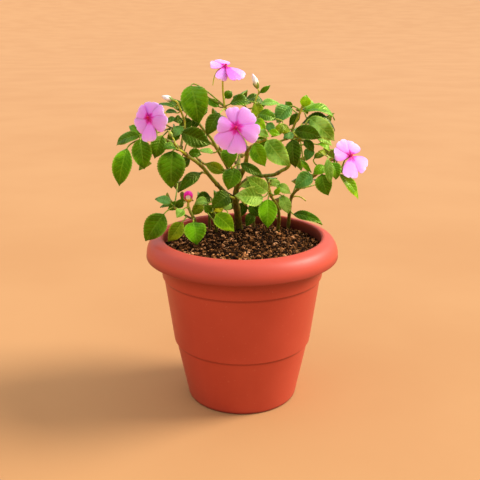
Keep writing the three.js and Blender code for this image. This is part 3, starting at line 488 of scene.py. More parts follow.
# %% Clay
class Clay:
    def __init__(self):
        self.points, self.faces, self.kinds, self.maps, self.tints = [], [], [], [], []
        self.count = 0

    def add(self, points, faces, kind, maps, tints):
        size = len(points)
        self.points.append(points)
        self.faces += [tuple(int(i) + self.count for i in face) for face in faces]
        self.kinds += [kind] * len(faces)
        self.maps.append(np.broadcast_to(maps, (size, 2)))
        self.tints.append(np.broadcast_to(tints, (size, 4)))
        self.count += size


def grid(rows, columns, closed=False):
    ids = np.arange(rows * columns).reshape(rows, columns)
    if closed:
        ids = np.concatenate([ids, ids[:, :1]], axis=1)
    return np.stack([ids[:-1, :-1], ids[1:, :-1], ids[1:, 1:], ids[:-1, 1:]], axis=-1).reshape(-1, 4)


# %% [markdown]
# ## Shells and tubes
# Two forms are enough for the whole plant. A blade or a petal is a thin closed shell between an upper and a
# lower face. A stem, a stalk, a spur or a bud is a tube whose rings follow a line without twisting.

# %% Shells and tubes
def shell(clay, upper, lower, kind, maps, tints):
    rows, columns = upper.shape[:2]
    half = rows * columns
    ids = np.arange(half).reshape(rows, columns)
    faces = grid(rows, columns)
    rim = [*ids[0, :-1], *ids[:-1, -1], *ids[-1, :0:-1], *ids[:0:-1, 0]]
    edge = [(a, b, b + half, a + half) for a, b in zip(rim, rim[1:] + rim[:1])]
    points = np.concatenate([upper.reshape(-1, 3), lower.reshape(-1, 3)])
    clay.add(points, [*faces, *(faces + half)[:, ::-1], *edge], kind, np.concatenate([maps, maps]), tints)


def around(count):
    return np.arange(count) * 2 * math.pi / count


def rings_of(points, radii, sides):
    along = np.gradient(points, axis=0)
    along /= np.linalg.norm(along, axis=1)[:, None]
    angles = around(sides)
    across = np.array([0.31, 0.95, 0.05])
    rings = []
    for point, forward, radius in zip(points, along, radii):
        across = unit(across - forward * (across @ forward))
        over = np.cross(forward, across)
        spokes = np.cos(angles)[:, None] * across + np.sin(angles)[:, None] * over
        rings.append(point + spokes * np.asarray(radius).reshape(-1, 1))
    return np.array(rings)


def tube(clay, points, radii, sides, kind, tints):
    rings = rings_of(points, radii, sides)
    rows = len(rings)
    caps = [tuple(range(sides - 1, -1, -1)), tuple(range((rows - 1) * sides, rows * sides))]
    maps = np.stack(np.meshgrid(np.linspace(0, 1, rows), np.linspace(0, 1, sides), indexing="ij"), -1)
    tints = np.broadcast_to(tints, (rows, 4)).repeat(sides, axis=0)
    faces = [*grid(rows, sides, closed=True), *caps]
    clay.add(rings.reshape(-1, 3), faces, kind, maps.reshape(-1, 2), tints)


# %% [markdown]
# ## Colours
# Colours are chosen as a screen shows them, and a shader wants them linear. One helper converts, and the
# tones of leaves, stems and stalks are listed once, so that all leaves of a tone can be made lighter or
# darker in one place.

# %% Tones of leaf, stem and flower
def shade(red, green, blue):
    linear = [((c / 255 + 0.055) / 1.055) ** 2.4 if c > 10 else c / 255 / 12.92 for c in (red, green, blue)]
    return np.array([*linear, 1.0])


# The pale and blue tones are painted sheen: a lighter, bluer green standing for the sky's reflection on the
# leaf
TONES = {
    "dark": shade(33, 69, 1),
    "mid": shade(56, 102, 1),
    "glossy": shade(80, 136, 3),
    "lime": shade(122, 174, 8),
    "gold": shade(176, 184, 20),
    "pale": shade(130, 178, 70),
    "blue": shade(80, 138, 62),
    "olive": shade(104, 122, 6),
}
STEM_TONES = [shade(98, 86, 28), shade(116, 126, 26), shade(196, 204, 56)]
STALK_TONES = [shade(132, 156, 30), shade(164, 190, 50)]
JOINT_TONE = shade(128, 80, 36)


def blend(tones, share):
    place = np.clip(np.asarray(share, dtype=float), 0, 1) * (len(tones) - 1)
    steps = range(len(tones))
    return np.stack([np.interp(place, steps, [tone[k] for tone in tones]) for k in range(4)], axis=-1)


print(len(TONES), "leaf tones")

# %% [markdown]
# ## Building materials from nodes
# Every finish here is a small tree of nodes. It could be drawn in the shader editor, but these helpers add
# one node and wire its inputs in a single line, which keeps the recipes below readable: fade is a soft ramp
# between two values, grain is noise in the plant's own space, and coat wires colour, roughness and relief
# to the shader.

# %% Node helpers
def new_finish(name, roughness, **sockets):
    material = bpy.data.materials.new(name)
    material.use_nodes = True
    shader = material.node_tree.nodes["Principled BSDF"]
    shader.inputs["Roughness"].default_value = roughness
    for socket, value in sockets.items():
        shader.inputs[socket.replace("_", " ").title().replace("Ior", "IOR")].default_value = value
    return material, material.node_tree, shader


def put(tree, kind, inputs, output=0, **settings):
    made = tree.nodes.new("ShaderNode" + kind)
    for key, value in settings.items():
        setattr(made, key, value)
    for key, value in inputs.items():
        if isinstance(value, bpy.types.NodeSocket):
            tree.links.new(value, made.inputs[key])
        else:
            made.inputs[key].default_value = value
    return made.outputs[output]


def calc(tree, operation, a, b=0.0, c=0.0):
    return put(tree, "Math", {0: a, 1: b, 2: c}, operation=operation)


def product(tree, a, b):
    return calc(tree, "MULTIPLY", a, b)


def fade(tree, value, low, high, start=0.0, end=1.0):
    inputs = {"Value": value, "From Min": low, "From Max": high, "To Min": start, "To Max": end}
    return put(tree, "MapRange", inputs, interpolation_type="SMOOTHSTEP")


def mixed(tree, share, a, b, blend_type="MIX"):
    return put(tree, "Mix", {0: share, 6: a, 7: b}, output=2, data_type="RGBA", blend_type=blend_type)


def times(tree, colour, red, green, blue):
    return mixed(tree, 1.0, colour, (red, green, blue, 1), "MULTIPLY")


def tint_of(tree):
    return put(tree, "Attribute", {}, attribute_name="tint", attribute_type="GEOMETRY")


def pattern_of(tree):
    return put(tree, "SeparateXYZ", {0: put(tree, "UVMap", {}, uv_map="pattern")}).node.outputs[:2]


def grain(tree, scale, detail=3.0, stretch=(1, 1, 1), kind="Noise", **settings):
    place = put(tree, "Mapping", {"Vector": put(tree, "TexCoord", {}, output="Object"), "Scale": stretch})
    if kind == "Noise":
        return put(tree, "TexNoise", {"Vector": place, "Scale": scale, "Detail": detail}, **settings)
    return put(tree, "TexVoronoi", {"Vector": place, "Scale": scale}, **settings)


def coat(tree, shader, colour, rough, height, strength, depth):
    bump = put(tree, "Bump", {"Height": height, "Strength": strength, "Distance": depth})
    for socket, source in (("Base Color", colour), ("Roughness", rough), ("Normal", bump)):
        tree.links.new(source, shader.inputs[socket])


# %% [markdown]
# ## The leaf's finish
# A balsam leaf is smooth and waxy: a paler midrib, about eight pairs of side veins that curve to the tip,
# raised skin between them, a yellowish margin and a dull, paler underside. An image would be easy, but
# isn't allowed and blurs close up. The pattern is computed instead from the map along and across each
# blade, so it fits every leaf.

# %% Leaf finish
SIDE_VEINS = 8
VEIN_SLANT = 1.7
VEIN_CURVE = 0.85


def leaf_finish():
    material, tree, shader = new_finish("balsam_leaf", 0.34, subsurface_weight=0.12, subsurface_scale=0.002,
                                        subsurface_radius=(0.6, 1.0, 0.2), specular_ior_level=0.55,
                                        specular_tint=(0.8, 1.0, 0.05, 1))
    tint = tint_of(tree)
    upper = tint.node.outputs["Alpha"]
    along, across = pattern_of(tree)
    out = calc(tree, "ABSOLUTE", calc(tree, "MULTIPLY_ADD", across, 2.0, -1.0))
    curve = product(tree, calc(tree, "POWER", out, VEIN_CURVE), VEIN_SLANT)
    phase = calc(tree, "SUBTRACT", product(tree, along, SIDE_VEINS), curve)
    wobble = product(tree, calc(tree, "SUBTRACT", grain(tree, 260.0, 2.0), 0.5), 0.3)
    from_vein = calc(tree, "PINGPONG", calc(tree, "ADD", phase, wobble), 0.5)
    side_vein = fade(tree, from_vein, 0.0, 0.09, 1.0, 0.0)
    side_vein = product(tree, side_vein, fade(tree, out, 0.55, 0.98, 1.0, 0.1))
    midrib = fade(tree, out, 0.035, 0.09, 1.0, 0.0)
    veins = calc(tree, "MAXIMUM", side_vein, midrib)
    net = grain(tree, 700.0, kind="Voronoi", feature="DISTANCE_TO_EDGE")
    net = fade(tree, net, 0.0, 0.12, 1.0, 0.0)
    blotch = grain(tree, 75.0, 4.0)
    dark, light = times(tree, tint, 0.52, 0.64, 0.3), times(tree, tint, 1.5, 1.34, 1.6)
    ground = mixed(tree, fade(tree, blotch, 0.4, 0.6), dark, light)
    paler = mixed(tree, 0.16, times(tree, tint, 2.1, 1.75, 1.5), shade(206, 218, 104))
    ground = mixed(tree, product(tree, net, 0.12), ground, paler)
    ground = mixed(tree, product(tree, veins, 0.4), ground, paler)
    ground = mixed(tree, fade(tree, out, 0.76, 1.0, 0.0, 0.85), ground, paler)
    under = mixed(tree, 0.4, ground, shade(136, 168, 56))
    rough = fade(tree, grain(tree, 420.0, 3.0), 0.3, 0.7, 0.22, 0.36)
    rough = calc(tree, "ADD", rough, fade(tree, upper, 0.0, 1.0, 0.22, 0.0))
    swell = calc(tree, "SUBTRACT", fade(tree, from_vein, 0.0, 0.32), product(tree, net, 0.25))
    coat(tree, shader, mixed(tree, upper, under, ground), rough, swell, 0.38, 0.0005)
    return material


LEAF = leaf_finish()

# %% [markdown]
# ## The stem's finish
# The stems are juicy and half translucent: brown and olive low down, yellow green above, reddish at the
# joints, with fine lengthwise streaks. The tint per point carries the change along the stem, and noise adds
# the streaks.

# %% Stem finish
def stem_finish():
    material, tree, shader = new_finish("balsam_stem", 0.42, subsurface_weight=0.1, subsurface_scale=0.002,
                                        subsurface_radius=(0.8, 1.0, 0.3), specular_ior_level=0.35)
    tint = tint_of(tree)
    streak = grain(tree, 520.0, 4.0, stretch=(1, 1, 0.12))
    patch = grain(tree, 90.0, 3.0)
    dark = times(tree, tint, 0.66, 0.6, 0.55)
    light = times(tree, tint, 1.35, 1.3, 1.15)
    body = mixed(tree, fade(tree, streak, 0.35, 0.66), dark, light)
    body = mixed(tree, fade(tree, patch, 0.55, 0.75, 0.0, 0.3), body, shade(116, 74, 40))
    coat(tree, shader, body, fade(tree, patch, 0.3, 0.7, 0.34, 0.54), streak, 0.4, 0.0004)
    return material


STEM = stem_finish()

# %% [markdown]
# ## The petals' finish
# A petal is thin, matt and faintly veined: crimson at the eye, hot pink streaks running out of it, then
# pale lilac pink that grows lighter to the edge. The map's first number runs from the eye to the edge, so
# one ramp along it gives the colours, and stretched noise frays it into streaks.

# %% Petal finish
PETAL_COLOURS = [
    (0.0, (176, 0, 92)), (0.13, (202, 0, 134)), (0.2, (220, 10, 168)), (0.25, (228, 88, 212)),
    (0.33, (230, 144, 238)), (0.65, (234, 158, 246)), (0.88, (240, 176, 250)), (1.0, (248, 204, 253)),
]


def coloured(tree, share, stops):
    ramp = put(tree, "ValToRGB", {"Fac": share})
    marks = ramp.node.color_ramp.elements
    while len(marks) < len(stops):
        marks.new(0.5)
    for mark, (place, colour) in zip(marks, stops):
        mark.position = place
        mark.color = shade(*colour)
    return ramp


def petal_finish():
    material, tree, shader = new_finish("balsam_petal", 0.6, subsurface_weight=0.4, subsurface_scale=0.001,
                                        subsurface_radius=(1.0, 0.8, 1.0), specular_ior_level=0.25)
    along, across = pattern_of(tree)
    spread = put(tree, "CombineXYZ", {0: product(tree, along, 1.6), 1: product(tree, across, 14.0)})
    ray = put(tree, "TexNoise", {"Vector": spread, "Scale": 1.0, "Detail": 3.0})
    frayed = calc(tree, "ADD", along, product(tree, calc(tree, "SUBTRACT", ray, 0.5), 0.4))
    colour = mixed(tree, 1.0, coloured(tree, frayed, PETAL_COLOURS), tint_of(tree), "MULTIPLY")
    vein = fade(tree, ray, 0.52, 0.66, 0.0, 0.25)
    colour = mixed(tree, vein, colour, shade(220, 112, 214))
    # Painted shade: each petal's side edges darken towards the eye, where the neighbouring petals overlap it
    side = calc(tree, "ABSOLUTE", calc(tree, "SUBTRACT", across, 0.5))
    overlap_shade = product(tree, fade(tree, side, 0.36, 0.5, 0.0, 0.6), fade(tree, along, 0.4, 0.85, 1.0, 0.0))
    colour = mixed(tree, overlap_shade, colour, shade(196, 70, 160))
    rough = fade(tree, grain(tree, 900.0), 0.3, 0.7, 0.46, 0.62)
    pores = product(tree, grain(tree, 1600.0), 0.3)
    coat(tree, shader, colour, rough, calc(tree, "ADD", ray, pores), 0.35, 0.0004)
    return material


PETAL = petal_finish()

# %% [markdown]
# ## The buds' finish
# A bud is a furled flower: its petals are silky, and each bud has its own colours. Four finishes could hold
# them, but one is enough, because the tint per point carries them. Lengthwise noise gives the silky streaks
# of folded petals.

# %% Bud finish
def bud_finish():
    material, tree, shader = new_finish("balsam_bud", 0.5, subsurface_weight=0.1, subsurface_scale=0.002,
                                        subsurface_radius=(1.0, 0.85, 0.7), specular_ior_level=0.3)
    tint = tint_of(tree)
    streak = grain(tree, 650.0, 3.0, stretch=(1, 1, 0.3))
    light = times(tree, tint, 1.12, 1.12, 1.12)
    dark = times(tree, tint, 0.78, 0.76, 0.74)
    colour = mixed(tree, fade(tree, streak, 0.3, 0.65), dark, light)
    coat(tree, shader, colour, fade(tree, streak, 0.3, 0.7, 0.4, 0.55), streak, 0.3, 0.0003)
    return material


BUD = bud_finish()

# %% [markdown]
# ## The pot's plastic
# The pot is moulded terracotta-coloured plastic: evenly coloured and satin, with a faint orange-peel skin,
# fine lengthwise flow marks and pale specks. Painted shade darkens thin lines at the two steps, the foot
# where it meets the floor and the band under the rim, and soil dust with painted shade darkens the inner
# wall above the soil. Heights in metres place each band. Real clay would be rougher and blotchy, so the
# noise here stays very weak. The rim is painted a little paler than the wall, as painted light.

# %% Pot finish
STEP_HEIGHTS = (0.0633, 0.135)
FOOT_HEIGHT = 0.0045
BAND_BOTTOM, BAND_TOP, RIM_START = 0.138, 0.157, 0.166
INNER_RADII = (0.0832, 0.0846)
DUST_SHADE_BOTTOM, DUST_SHADE_TOP = (0.15, 0.162), (0.171, 0.1785)
# Colour of painted shade on the pot: lines at the steps, the foot and the band under the rim
PAINTED_SHADE = shade(96, 24, 14)
DUST_AND_SHADE = shade(74, 30, 16)


def pot_finish():
    material, tree, shader = new_finish("terracotta_plastic", 0.46, specular_ior_level=0.32,
                                        coat_weight=0.06, coat_roughness=0.4)
    cloud = grain(tree, 14.0, 4.0)
    flow = grain(tree, 60.0, 3.0, stretch=(1, 1, 0.08))
    skin = grain(tree, 1500.0, 2.0)
    body = mixed(tree, fade(tree, cloud, 0.3, 0.7), shade(180, 64, 43), shade(188, 71, 49))
    body = mixed(tree, fade(tree, flow, 0.5, 0.8, 0.0, 0.2), body, shade(192, 76, 54))
    speck = fade(tree, grain(tree, 330.0, 2.0), 0.66, 0.76, 0.0, 0.22)
    body = mixed(tree, speck, body, shade(206, 124, 94))
    spot = put(tree, "TexCoord", {}, output="Object")
    x, y, height = put(tree, "SeparateXYZ", {0: spot}).node.outputs
    # Painted shade: a thin dark line at each step, where the ledge shades the wall below it
    for step in STEP_HEIGHTS:
        away = calc(tree, "ABSOLUTE", calc(tree, "SUBTRACT", height, step))
        body = mixed(tree, fade(tree, away, 0.0002, 0.0023, 0.42, 0.0), body, PAINTED_SHADE)
    # Painted contact shadow: the foot darkens where it meets the floor
    body = mixed(tree, fade(tree, height, 0.0005, FOOT_HEIGHT, 0.7, 0.0), body, PAINTED_SHADE)
    # Painted shade: the band under the rim darkens as if in the rim's shadow
    body = mixed(tree, fade(tree, height, BAND_BOTTOM, BAND_TOP, 0.0, 0.5), body, PAINTED_SHADE)
    # Painted light: the rim's top is painted lighter than the wall
    body = mixed(tree, fade(tree, height, BAND_TOP, RIM_START, 0.0, 0.6), body, shade(216, 84, 60))
    # Soil dust and painted shade: the inner wall above the soil darkens towards the soil
    reach = calc(tree, "SQRT", calc(tree, "ADD", product(tree, x, x), product(tree, y, y)))
    inner = product(tree, fade(tree, reach, *INNER_RADII, 1.0, 0.0), fade(tree, height, *DUST_SHADE_BOTTOM))
    dust_and_shade = product(tree, inner, fade(tree, height, *DUST_SHADE_TOP, 0.8, 0.25))
    body = mixed(tree, dust_and_shade, body, DUST_AND_SHADE)
    rough = calc(tree, "ADD", fade(tree, cloud, 0.3, 0.7, 0.42, 0.5), product(tree, speck, 0.5))
    coat(tree, shader, body, rough, calc(tree, "ADD", skin, product(tree, flow, 0.6)), 0.12, 0.0004)
    return material


PLASTIC = pot_finish()

# %% [markdown]
# ## The soil's finish
# Potting soil is peat, bark and grit: crumbs from nearly black to tan, all rough. Noise alone would colour
# it without regard to its crumbs, so each crumb carries its own tint, and noise only breaks up its faces.

# %% Soil finish
def soil_finish():
    material, tree, shader = new_finish("potting_soil", 0.95, specular_ior_level=0.08)
    tint = tint_of(tree)
    fine = grain(tree, 900.0, 5.0)
    light = times(tree, tint, 1.5, 1.45, 1.4)
    dark = times(tree, tint, 0.5, 0.48, 0.45)
    colour = mixed(tree, fade(tree, fine, 0.35, 0.65), dark, light)
    coat(tree, shader, colour, fade(tree, fine, 0.3, 0.7, 0.82, 1.0), fine, 0.7, 0.0008)
    return material


SOIL = soil_finish()
print("finishes:", [material.name for material in (LEAF, STEM, PETAL, BUD, PLASTIC, SOIL)])

# %% [markdown]
# ## From clay to a piece
# Each finished piece stands for one solid of the frame, rides with the plant's one body and takes the
# finishes passed to it. Sharp edges are found by angle, so blade margins and the pot's steps stay crisp.

# %% Finished pieces
def fired(name, clay, materials, node, crease=50):
    mesh = bpy.data.meshes.new(name)
    mesh.from_pydata((np.concatenate(clay.points) / 1000).tolist(), [], clay.faces)
    for material in materials:
        mesh.materials.append(material)
    mesh.polygons.foreach_set("material_index", clay.kinds)
    corners = np.zeros(len(mesh.loops), dtype=np.int32)
    mesh.loops.foreach_get("vertex_index", corners)
    pattern = mesh.uv_layers.new(name="pattern")
    pattern.data.foreach_set("uv", np.concatenate(clay.maps)[corners].ravel())
    tint = mesh.color_attributes.new("tint", "FLOAT_COLOR", "POINT")
    tint.data.foreach_set("color", np.concatenate(clay.tints).ravel())
    work = bmesh.new()
    work.from_mesh(mesh)
    bmesh.ops.recalc_face_normals(work, faces=work.faces)
    work.to_mesh(mesh)
    work.free()
    mesh.shade_smooth()
    mesh.set_sharp_from_angle(angle=math.radians(crease))
    piece = bpy.data.objects.new(name, mesh)
    bpy.context.collection.objects.link(piece)
    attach(piece, "root")
    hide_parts(node)
    mesh.calc_loop_triangles()
    print(name, len(mesh.loop_triangles), "triangles")
    return piece


# %% [markdown]
# ## Stems
# A stem tapers from its root to its end, swells at each joint where a stalk leaves it, and wavers a little.
# The solids have a few flat sides; here it has twelve or sixteen, so that it looks round, and its tint runs
# from brown to yellow green.

# %% Stem tubes
GAP = 0.3
THROAT = 4.0
RING_STEP = 1.6
JOINT_LENGTH = 1.5
JOINT_SWELL = 0.22
WAVER = 0.04
NECK, CLEAR = 4, 1.4 * GAP


def bell(value, width):
    return np.exp(-((value / width) ** 2))


def seat(name):
    if name in BUDS:
        base = seen(BUDS[name]["base"])
        return base, unit(seen(BUDS[name]["tip"]) - base)
    out = unit(np.array(BLOOMS[name]["faces"]))
    return seen(BLOOMS[name]["eye"]) - THROAT * out, out


def vine_of(stem):
    points = [seen(spot) for spot in stem["at"]]
    if "holds" in stem:
        base, out = seat(stem["holds"])
        points += [base - NECK * out, base - CLEAR * out]
    return Vine(points)


def grow_stem(clay, vine, radii, start, end, joints, age, swell=1.0, sides=12):
    distances = np.linspace(start, end, max(3, int((end - start) / RING_STEP)))
    share = distances / vine.length
    radius = (radii[0] + (radii[1] - radii[0]) * share) * swell
    joint = sum((bell(distances - spot, JOINT_LENGTH) for spot in joints), np.zeros(len(distances)))
    joint = np.minimum(joint, 1)
    radius = radius * (1 + JOINT_SWELL * joint + WAVER * np.sin(distances * 0.9))
    tint = blend(STEM_TONES, age[0] + (age[1] - age[0]) * share)
    tint = tint + (JOINT_TONE - tint) * (0.55 * joint)[:, None]
    tube(clay, vine.at(distances), radius, sides, 1, tint)


# %% [markdown]
# ## Where stalks leave a stem
# A stalk starts on the stem's place that lies nearest to its leaf, out of a few evenly spread spots. The
# same rule as in the solids is used, so that stalks leave where theirs do.

# %% Spots for stalks
TUBE_STEP = 15
SPOTS = (0.21, 0.44, 0.67, 0.93)


def spots_of(vine, start):
    count = max(1, int((vine.length - start) / TUBE_STEP + 0.5))
    marks = np.linspace(start, vine.length, count + 1)
    knots = vine.at(marks)
    spots = []
    for i in range(count):
        for share in SPOTS:
            distance = marks[i] + (marks[i + 1] - marks[i]) * share
            spots.append((knots[i] + (knots[i + 1] - knots[i]) * share, vine.at(distance), distance))
    return spots


# %% [markdown]
# ## Leaves
# A balsam leaf is egg-shaped with a drawn-out tip, folded a little along its midrib, with small forward
# teeth. A plane with a cut-out image would look flat from the side. Each blade here is a closed shell of
# 400 to 1,600 faces, more on a long leaf: the margin is cut into teeth, the skin swells between the side
# veins, the edge waves, and the midrib is a groove above and a ridge below. Seeded draws make every leaf
# differ a little.

# %% One leaf
LEAF_THICK = 0.5
LARGE_WIDTH = 16
TOOTH_LENGTH, TOOTH_DEPTH = 2.4, 0.065
TOOTH_FORM = [0.0, 0.45, 0.8, 1.0]
SLIGHT_FOLD, DEEP_FOLD = 0.2, 0.3
MOST_BOW, MOST_LEAN = 0.05, 0.12
VEIN_SWELL, EDGE_CURL, EDGE_DROP, TIP_DROP = 0.009, 0.055, 0.045, 0.03
MIDRIB_GROOVE, MIDRIB_RIDGE = 0.2, 0.5
WIDE_COLUMNS = np.array([-1, -0.87, -0.7, -0.5, -0.28, -0.1, 0, 0.1, 0.28, 0.5, 0.7, 0.87, 1])
SLIM_COLUMNS = np.array([-1, -0.8, -0.48, -0.14, 0, 0.14, 0.48, 0.8, 1])


def turned(vector, axis, degrees):
    angle = math.radians(degrees)
    return (vector * math.cos(angle) + np.cross(axis, vector) * math.sin(angle)
            + axis * (axis @ vector) * (1 - math.cos(angle)))


def outline(u):
    return 3.42 * u**0.74 * (1 - u) ** 1.08


def map_of(u, v):
    return np.stack(np.broadcast_arrays(u, (v + 1) / 2), axis=-1).reshape(-1, 2)


def grow_leaf(clay, row, spots, front, tone, draw):
    base, tip = seen(row[:3]), seen(row[3:6])
    width, arch, turn = row[6:]
    length = np.linalg.norm(tip - base)
    straight = unit(tip - base)
    facing = EYE - base
    up = turned(unit(facing - straight * (facing @ straight)), straight, turn)
    over = np.cross(up, straight)
    folded = front and width >= LARGE_WIDTH

    teeth = int(np.clip(length / TOOTH_LENGTH, 5, 15))
    u = np.linspace(0, 0.992, teeth * 4 + 1)[:, None]
    v = (WIDE_COLUMNS if width > 11 else SLIM_COLUMNS)[None, :]
    out = np.abs(v)
    tooth = np.tile(TOOTH_FORM, teeth + 1)[: len(u), None]
    half = np.maximum(width / 2 * outline(u), 0.6)
    half = half * (1 + TOOTH_DEPTH * (tooth - 0.55) * out**8)

    along = straight + up * arch * 4 * (1 - 2 * u)
    along /= np.linalg.norm(along, axis=1)[:, None]
    normal = np.cross(along, over)
    bow = draw.uniform(-MOST_BOW, MOST_BOW)
    wave = draw.uniform(0, 6.3)
    lean = draw.uniform(-MOST_LEAN, MOST_LEAN)
    rise = up * arch * length * 4 * u * (1 - u)
    rib = base + straight * length * u + rise + over * bow * length * np.sin(math.pi * u)

    phase = u * SIDE_VEINS - VEIN_SLANT * out**VEIN_CURVE
    near_tip = np.minimum(1, 4 * (1 - u))
    swell = -VEIN_SWELL * width * np.cos(2 * math.pi * phase) * out**0.6 * (1 - out**4) * near_tip
    fold = (DEEP_FOLD if folded else SLIGHT_FOLD) * half * out**1.15 + lean * half * v
    curl = EDGE_CURL * width * out**3 * np.sin(wave + 9 * u + 2.2 * np.sign(v)) - EDGE_DROP * width * out**4
    drop = -TIP_DROP * length * np.clip((u - 0.75) / 0.25, 0, 1) ** 2
    lift = swell + fold + curl + drop
    thick = LEAF_THICK / 2 * (1 - 0.4 * out)
    across = over * (v * half)[..., None]
    middle = rib[:, None, :] + across + normal[:, None, :] * lift[..., None]
    groove = thick - MIDRIB_GROOVE * bell(v, 0.09) * (1 - u)
    ridge = thick + MIDRIB_RIDGE * bell(v, 0.1) * (1 - u) ** 0.5
    upper = middle + normal[:, None, :] * groove[..., None]
    lower = middle - normal[:, None, :] * ridge[..., None]

    maps = map_of(u, v)
    hue = TONES[tone] * np.array([*(draw.uniform(0.86, 1.14) * draw.uniform(0.95, 1.05, 3)), 1])
    tints = np.repeat([hue, hue * [1, 1, 1, 0]], len(maps), axis=0)
    shell(clay, upper, lower, 0, maps, tints)

    root = min(spots, key=lambda spot: np.linalg.norm(spot[0] - base))
    bend = base - unit(straight + up * arch * 4) * 0.4 * np.linalg.norm(root[0] - base)
    s = np.linspace(0, 1, 9)[:, None]
    stalk = (1 - s) ** 2 * root[1] + 2 * s * (1 - s) * bend + s**2 * (base + straight * 1.5 - up * 0.2)
    tube(clay, stalk, np.linspace(0.85, 0.6, len(s)), 8, 1, blend(STALK_TONES, s[:, 0]))
    return root[2]


# %% [markdown]
# ## Leaves on the far side
# The photograph hides the back of the crown. Leaves could be planned there one by one too, but nobody can
# say where they are, so a rule hangs them on a dome: each blade starts a little inside it, behind a planned
# spot, and its tip rests on it, facing away, so the plant looks whole all round. The rule and its numbers
# are those of the solids.

# %% Back leaves
CROWN_ACROSS, CROWN_DEPTH, CROWN_MIDDLE, CROWN_RISE = 128, 92, 232, 118
REACHES, DROOPS, SPREADS, TURNS = (24, 29, 34), (3, 6, 9, 12), (-3, 0, 3), (156, 180, 204)
BACK_WIDTH, BACK_ARCH = 17, 0.14


def back_row(spot, index):
    across, height = spot
    level = (height - CROWN_MIDDLE) / CROWN_RISE
    dome = CROWN_DEPTH * math.sqrt(max(1 - (across / CROWN_ACROSS) ** 2 - level**2, 0.1))
    spread = across * 0.04 + SPREADS[index % 3]
    start = [across - spread * 0.4, height + 1, REACHES[index % 3] - dome]
    end = [across + spread, height - DROOPS[index % 4], -dome]
    return [*start, *end, BACK_WIDTH, BACK_ARCH, TURNS[2 * index % 3]]


# %% [markdown]
# ## Leafy shoots
# A shoot is its stems with all their leaves. Growing the stem first would be the natural order, but leaves
# and their stalks are placed first here, because each stalk makes a joint that the stem then swells at.

# %% Shoots
# How far along STEM_TONES a stem starts and ends
OLD, BRANCHING, COLLAR, YOUNG, FLOWER_STALK = (0.0, 0.55), (0.25, 0.75), (0.4, 0.6), (0.5, 1.0), (0.9, 1.0)
FROM_THE_SOIL = (0.15, 0.9)
STEM_OVERLAP = 3
BACK_TONES = ("dark", "mid", "mid", "glossy")


def grow_shoot(plan, start, seed, age):
    clay = Clay()
    stems = [(stem, vine_of(stem), start if i == 0 else 0.0) for i, stem in enumerate(plan["stems"])]
    leafy = [(stem, vine, begin) for stem, vine, begin in stems if not stem.get("bare")]
    spots = [(*spot, i) for i, (_, vine, begin) in enumerate(leafy) for spot in spots_of(vine, begin)]
    draw = np.random.default_rng(seed)
    joints = {i: [] for i in range(len(leafy))}
    rows = [(row, True, tone) for row, tone in zip(plan.get("leaves", []), plan.get("tones", "").split())]
    rows += [(back_row(spot, i), False, BACK_TONES[i % 4]) for i, spot in enumerate(plan.get("back", []))]
    for row, front, tone in rows:
        distance = grow_leaf(clay, row, spots, front, tone, draw)
        owner = min(spots, key=lambda spot: np.linalg.norm(spot[0] - seen(row[:3])))[3]
        joints[owner].append(distance)
    for stem, vine, begin in stems:
        place = next((i for i, (_, other, _) in enumerate(leafy) if other is vine), None)
        tones = FLOWER_STALK if stem.get("bare") else age
        begin = max(begin - STEM_OVERLAP, 0)
        grow_stem(clay, vine, stem["radii"], begin, vine.length, joints.get(place, ()), tones)
    return clay


# %% [markdown]
# ## The main stem
# The trunk stands in the soil and forks into branches, and every shoot leaves it from a swollen collar. One
# mesh for the whole plant would be simpler, but the solids are separate nodes, so the trunk and its collars
# are one piece and each shoot is its own. Stems and stalks take their piece's second finish, so the main
# stem names its one finish twice.

# %% Main stem and shoots
HOLE_FLOOR = 140
FOOT_RINGS = 12
NODE_SWELL = 1.35
SAMPLES, NEAR = 61, 1.5
BRANCH_JOINTS = (0.3, 0.62, 0.97)
FINISHES = [LEAF, STEM]


def foot(clay, stem):
    top = seen(stem["at"][0])
    into = vine_of(stem).at(2.5)
    bottom = np.array([top[0], top[1], HOLE_FLOOR + GAP])
    distances = np.linspace(0, 1, FOOT_RINGS) * (top[2] - bottom[2] + 2)
    line = Vine([bottom, (bottom + top) / 2, top, into]).at(distances)
    tube(clay, line, np.full(FOOT_RINGS, stem["radii"][0]), 12, 1, STEM_TONES[0])


branches = [(branch, vine_of(branch)) for branch in [TRUNK, *BRANCHES]]


def thickness_at(place):
    thickness = 0.0
    for branch, vine in branches:
        thick, thin = branch["radii"]
        points = vine.at(np.linspace(0, vine.length, SAMPLES))
        near = np.linalg.norm(points - place, axis=1) < NEAR
        radii = thick + (thin - thick) * np.arange(SAMPLES) / (SAMPLES - 1)
        thickness = max([thickness, *radii[near]])
    return thickness


main = Clay()
foot(main, TRUNK)
for branch, vine in branches:
    joints = [vine.length * share for share in BRANCH_JOINTS]
    age = OLD if branch is TRUNK else BRANCHING
    grow_stem(main, vine, branch["radii"], 0, vine.length, joints, age, sides=16)
for seed, (name, plan) in enumerate(SHOOTS.items()):
    vine = vine_of(plan["stems"][0])
    reach = thickness_at(vine.line[0]) + 2
    grow_stem(main, vine, plan["stems"][0]["radii"], 0, reach, [reach], COLLAR, NODE_SWELL)
    shoot = grow_shoot(plan, reach + GAP, seed + 1, YOUNG)
    fired(name + "_fine", shoot, FINISHES, name)
fired("main_stem_fine", main, [STEM, STEM], "main_stem")

# %% [markdown]
# ## Stems that rise from the soil
# Six more leafy stems stand in the soil by themselves, each with its foot sunk into the soil. They are
# shoots with a foot, so the same rules grow them.

# %% Leafy stems
for seed, (name, plan) in enumerate(SOIL_STEMS.items()):
    stem = grow_shoot(plan, 0, seed + 40, FROM_THE_SOIL)
    foot(stem, plan["stems"][0])
    fired(name + "_fine", stem, FINISHES, name)

# %% [markdown]
# ## Open blooms
# Five or six broad petals overlap in three layers round a small crimson eye. Each is a thin closed shell:
# narrow at the eye, widest near its end, with a shallow notch and a soft wave. A short throat and a thin
# curved spur close the flower behind, as on the real one.

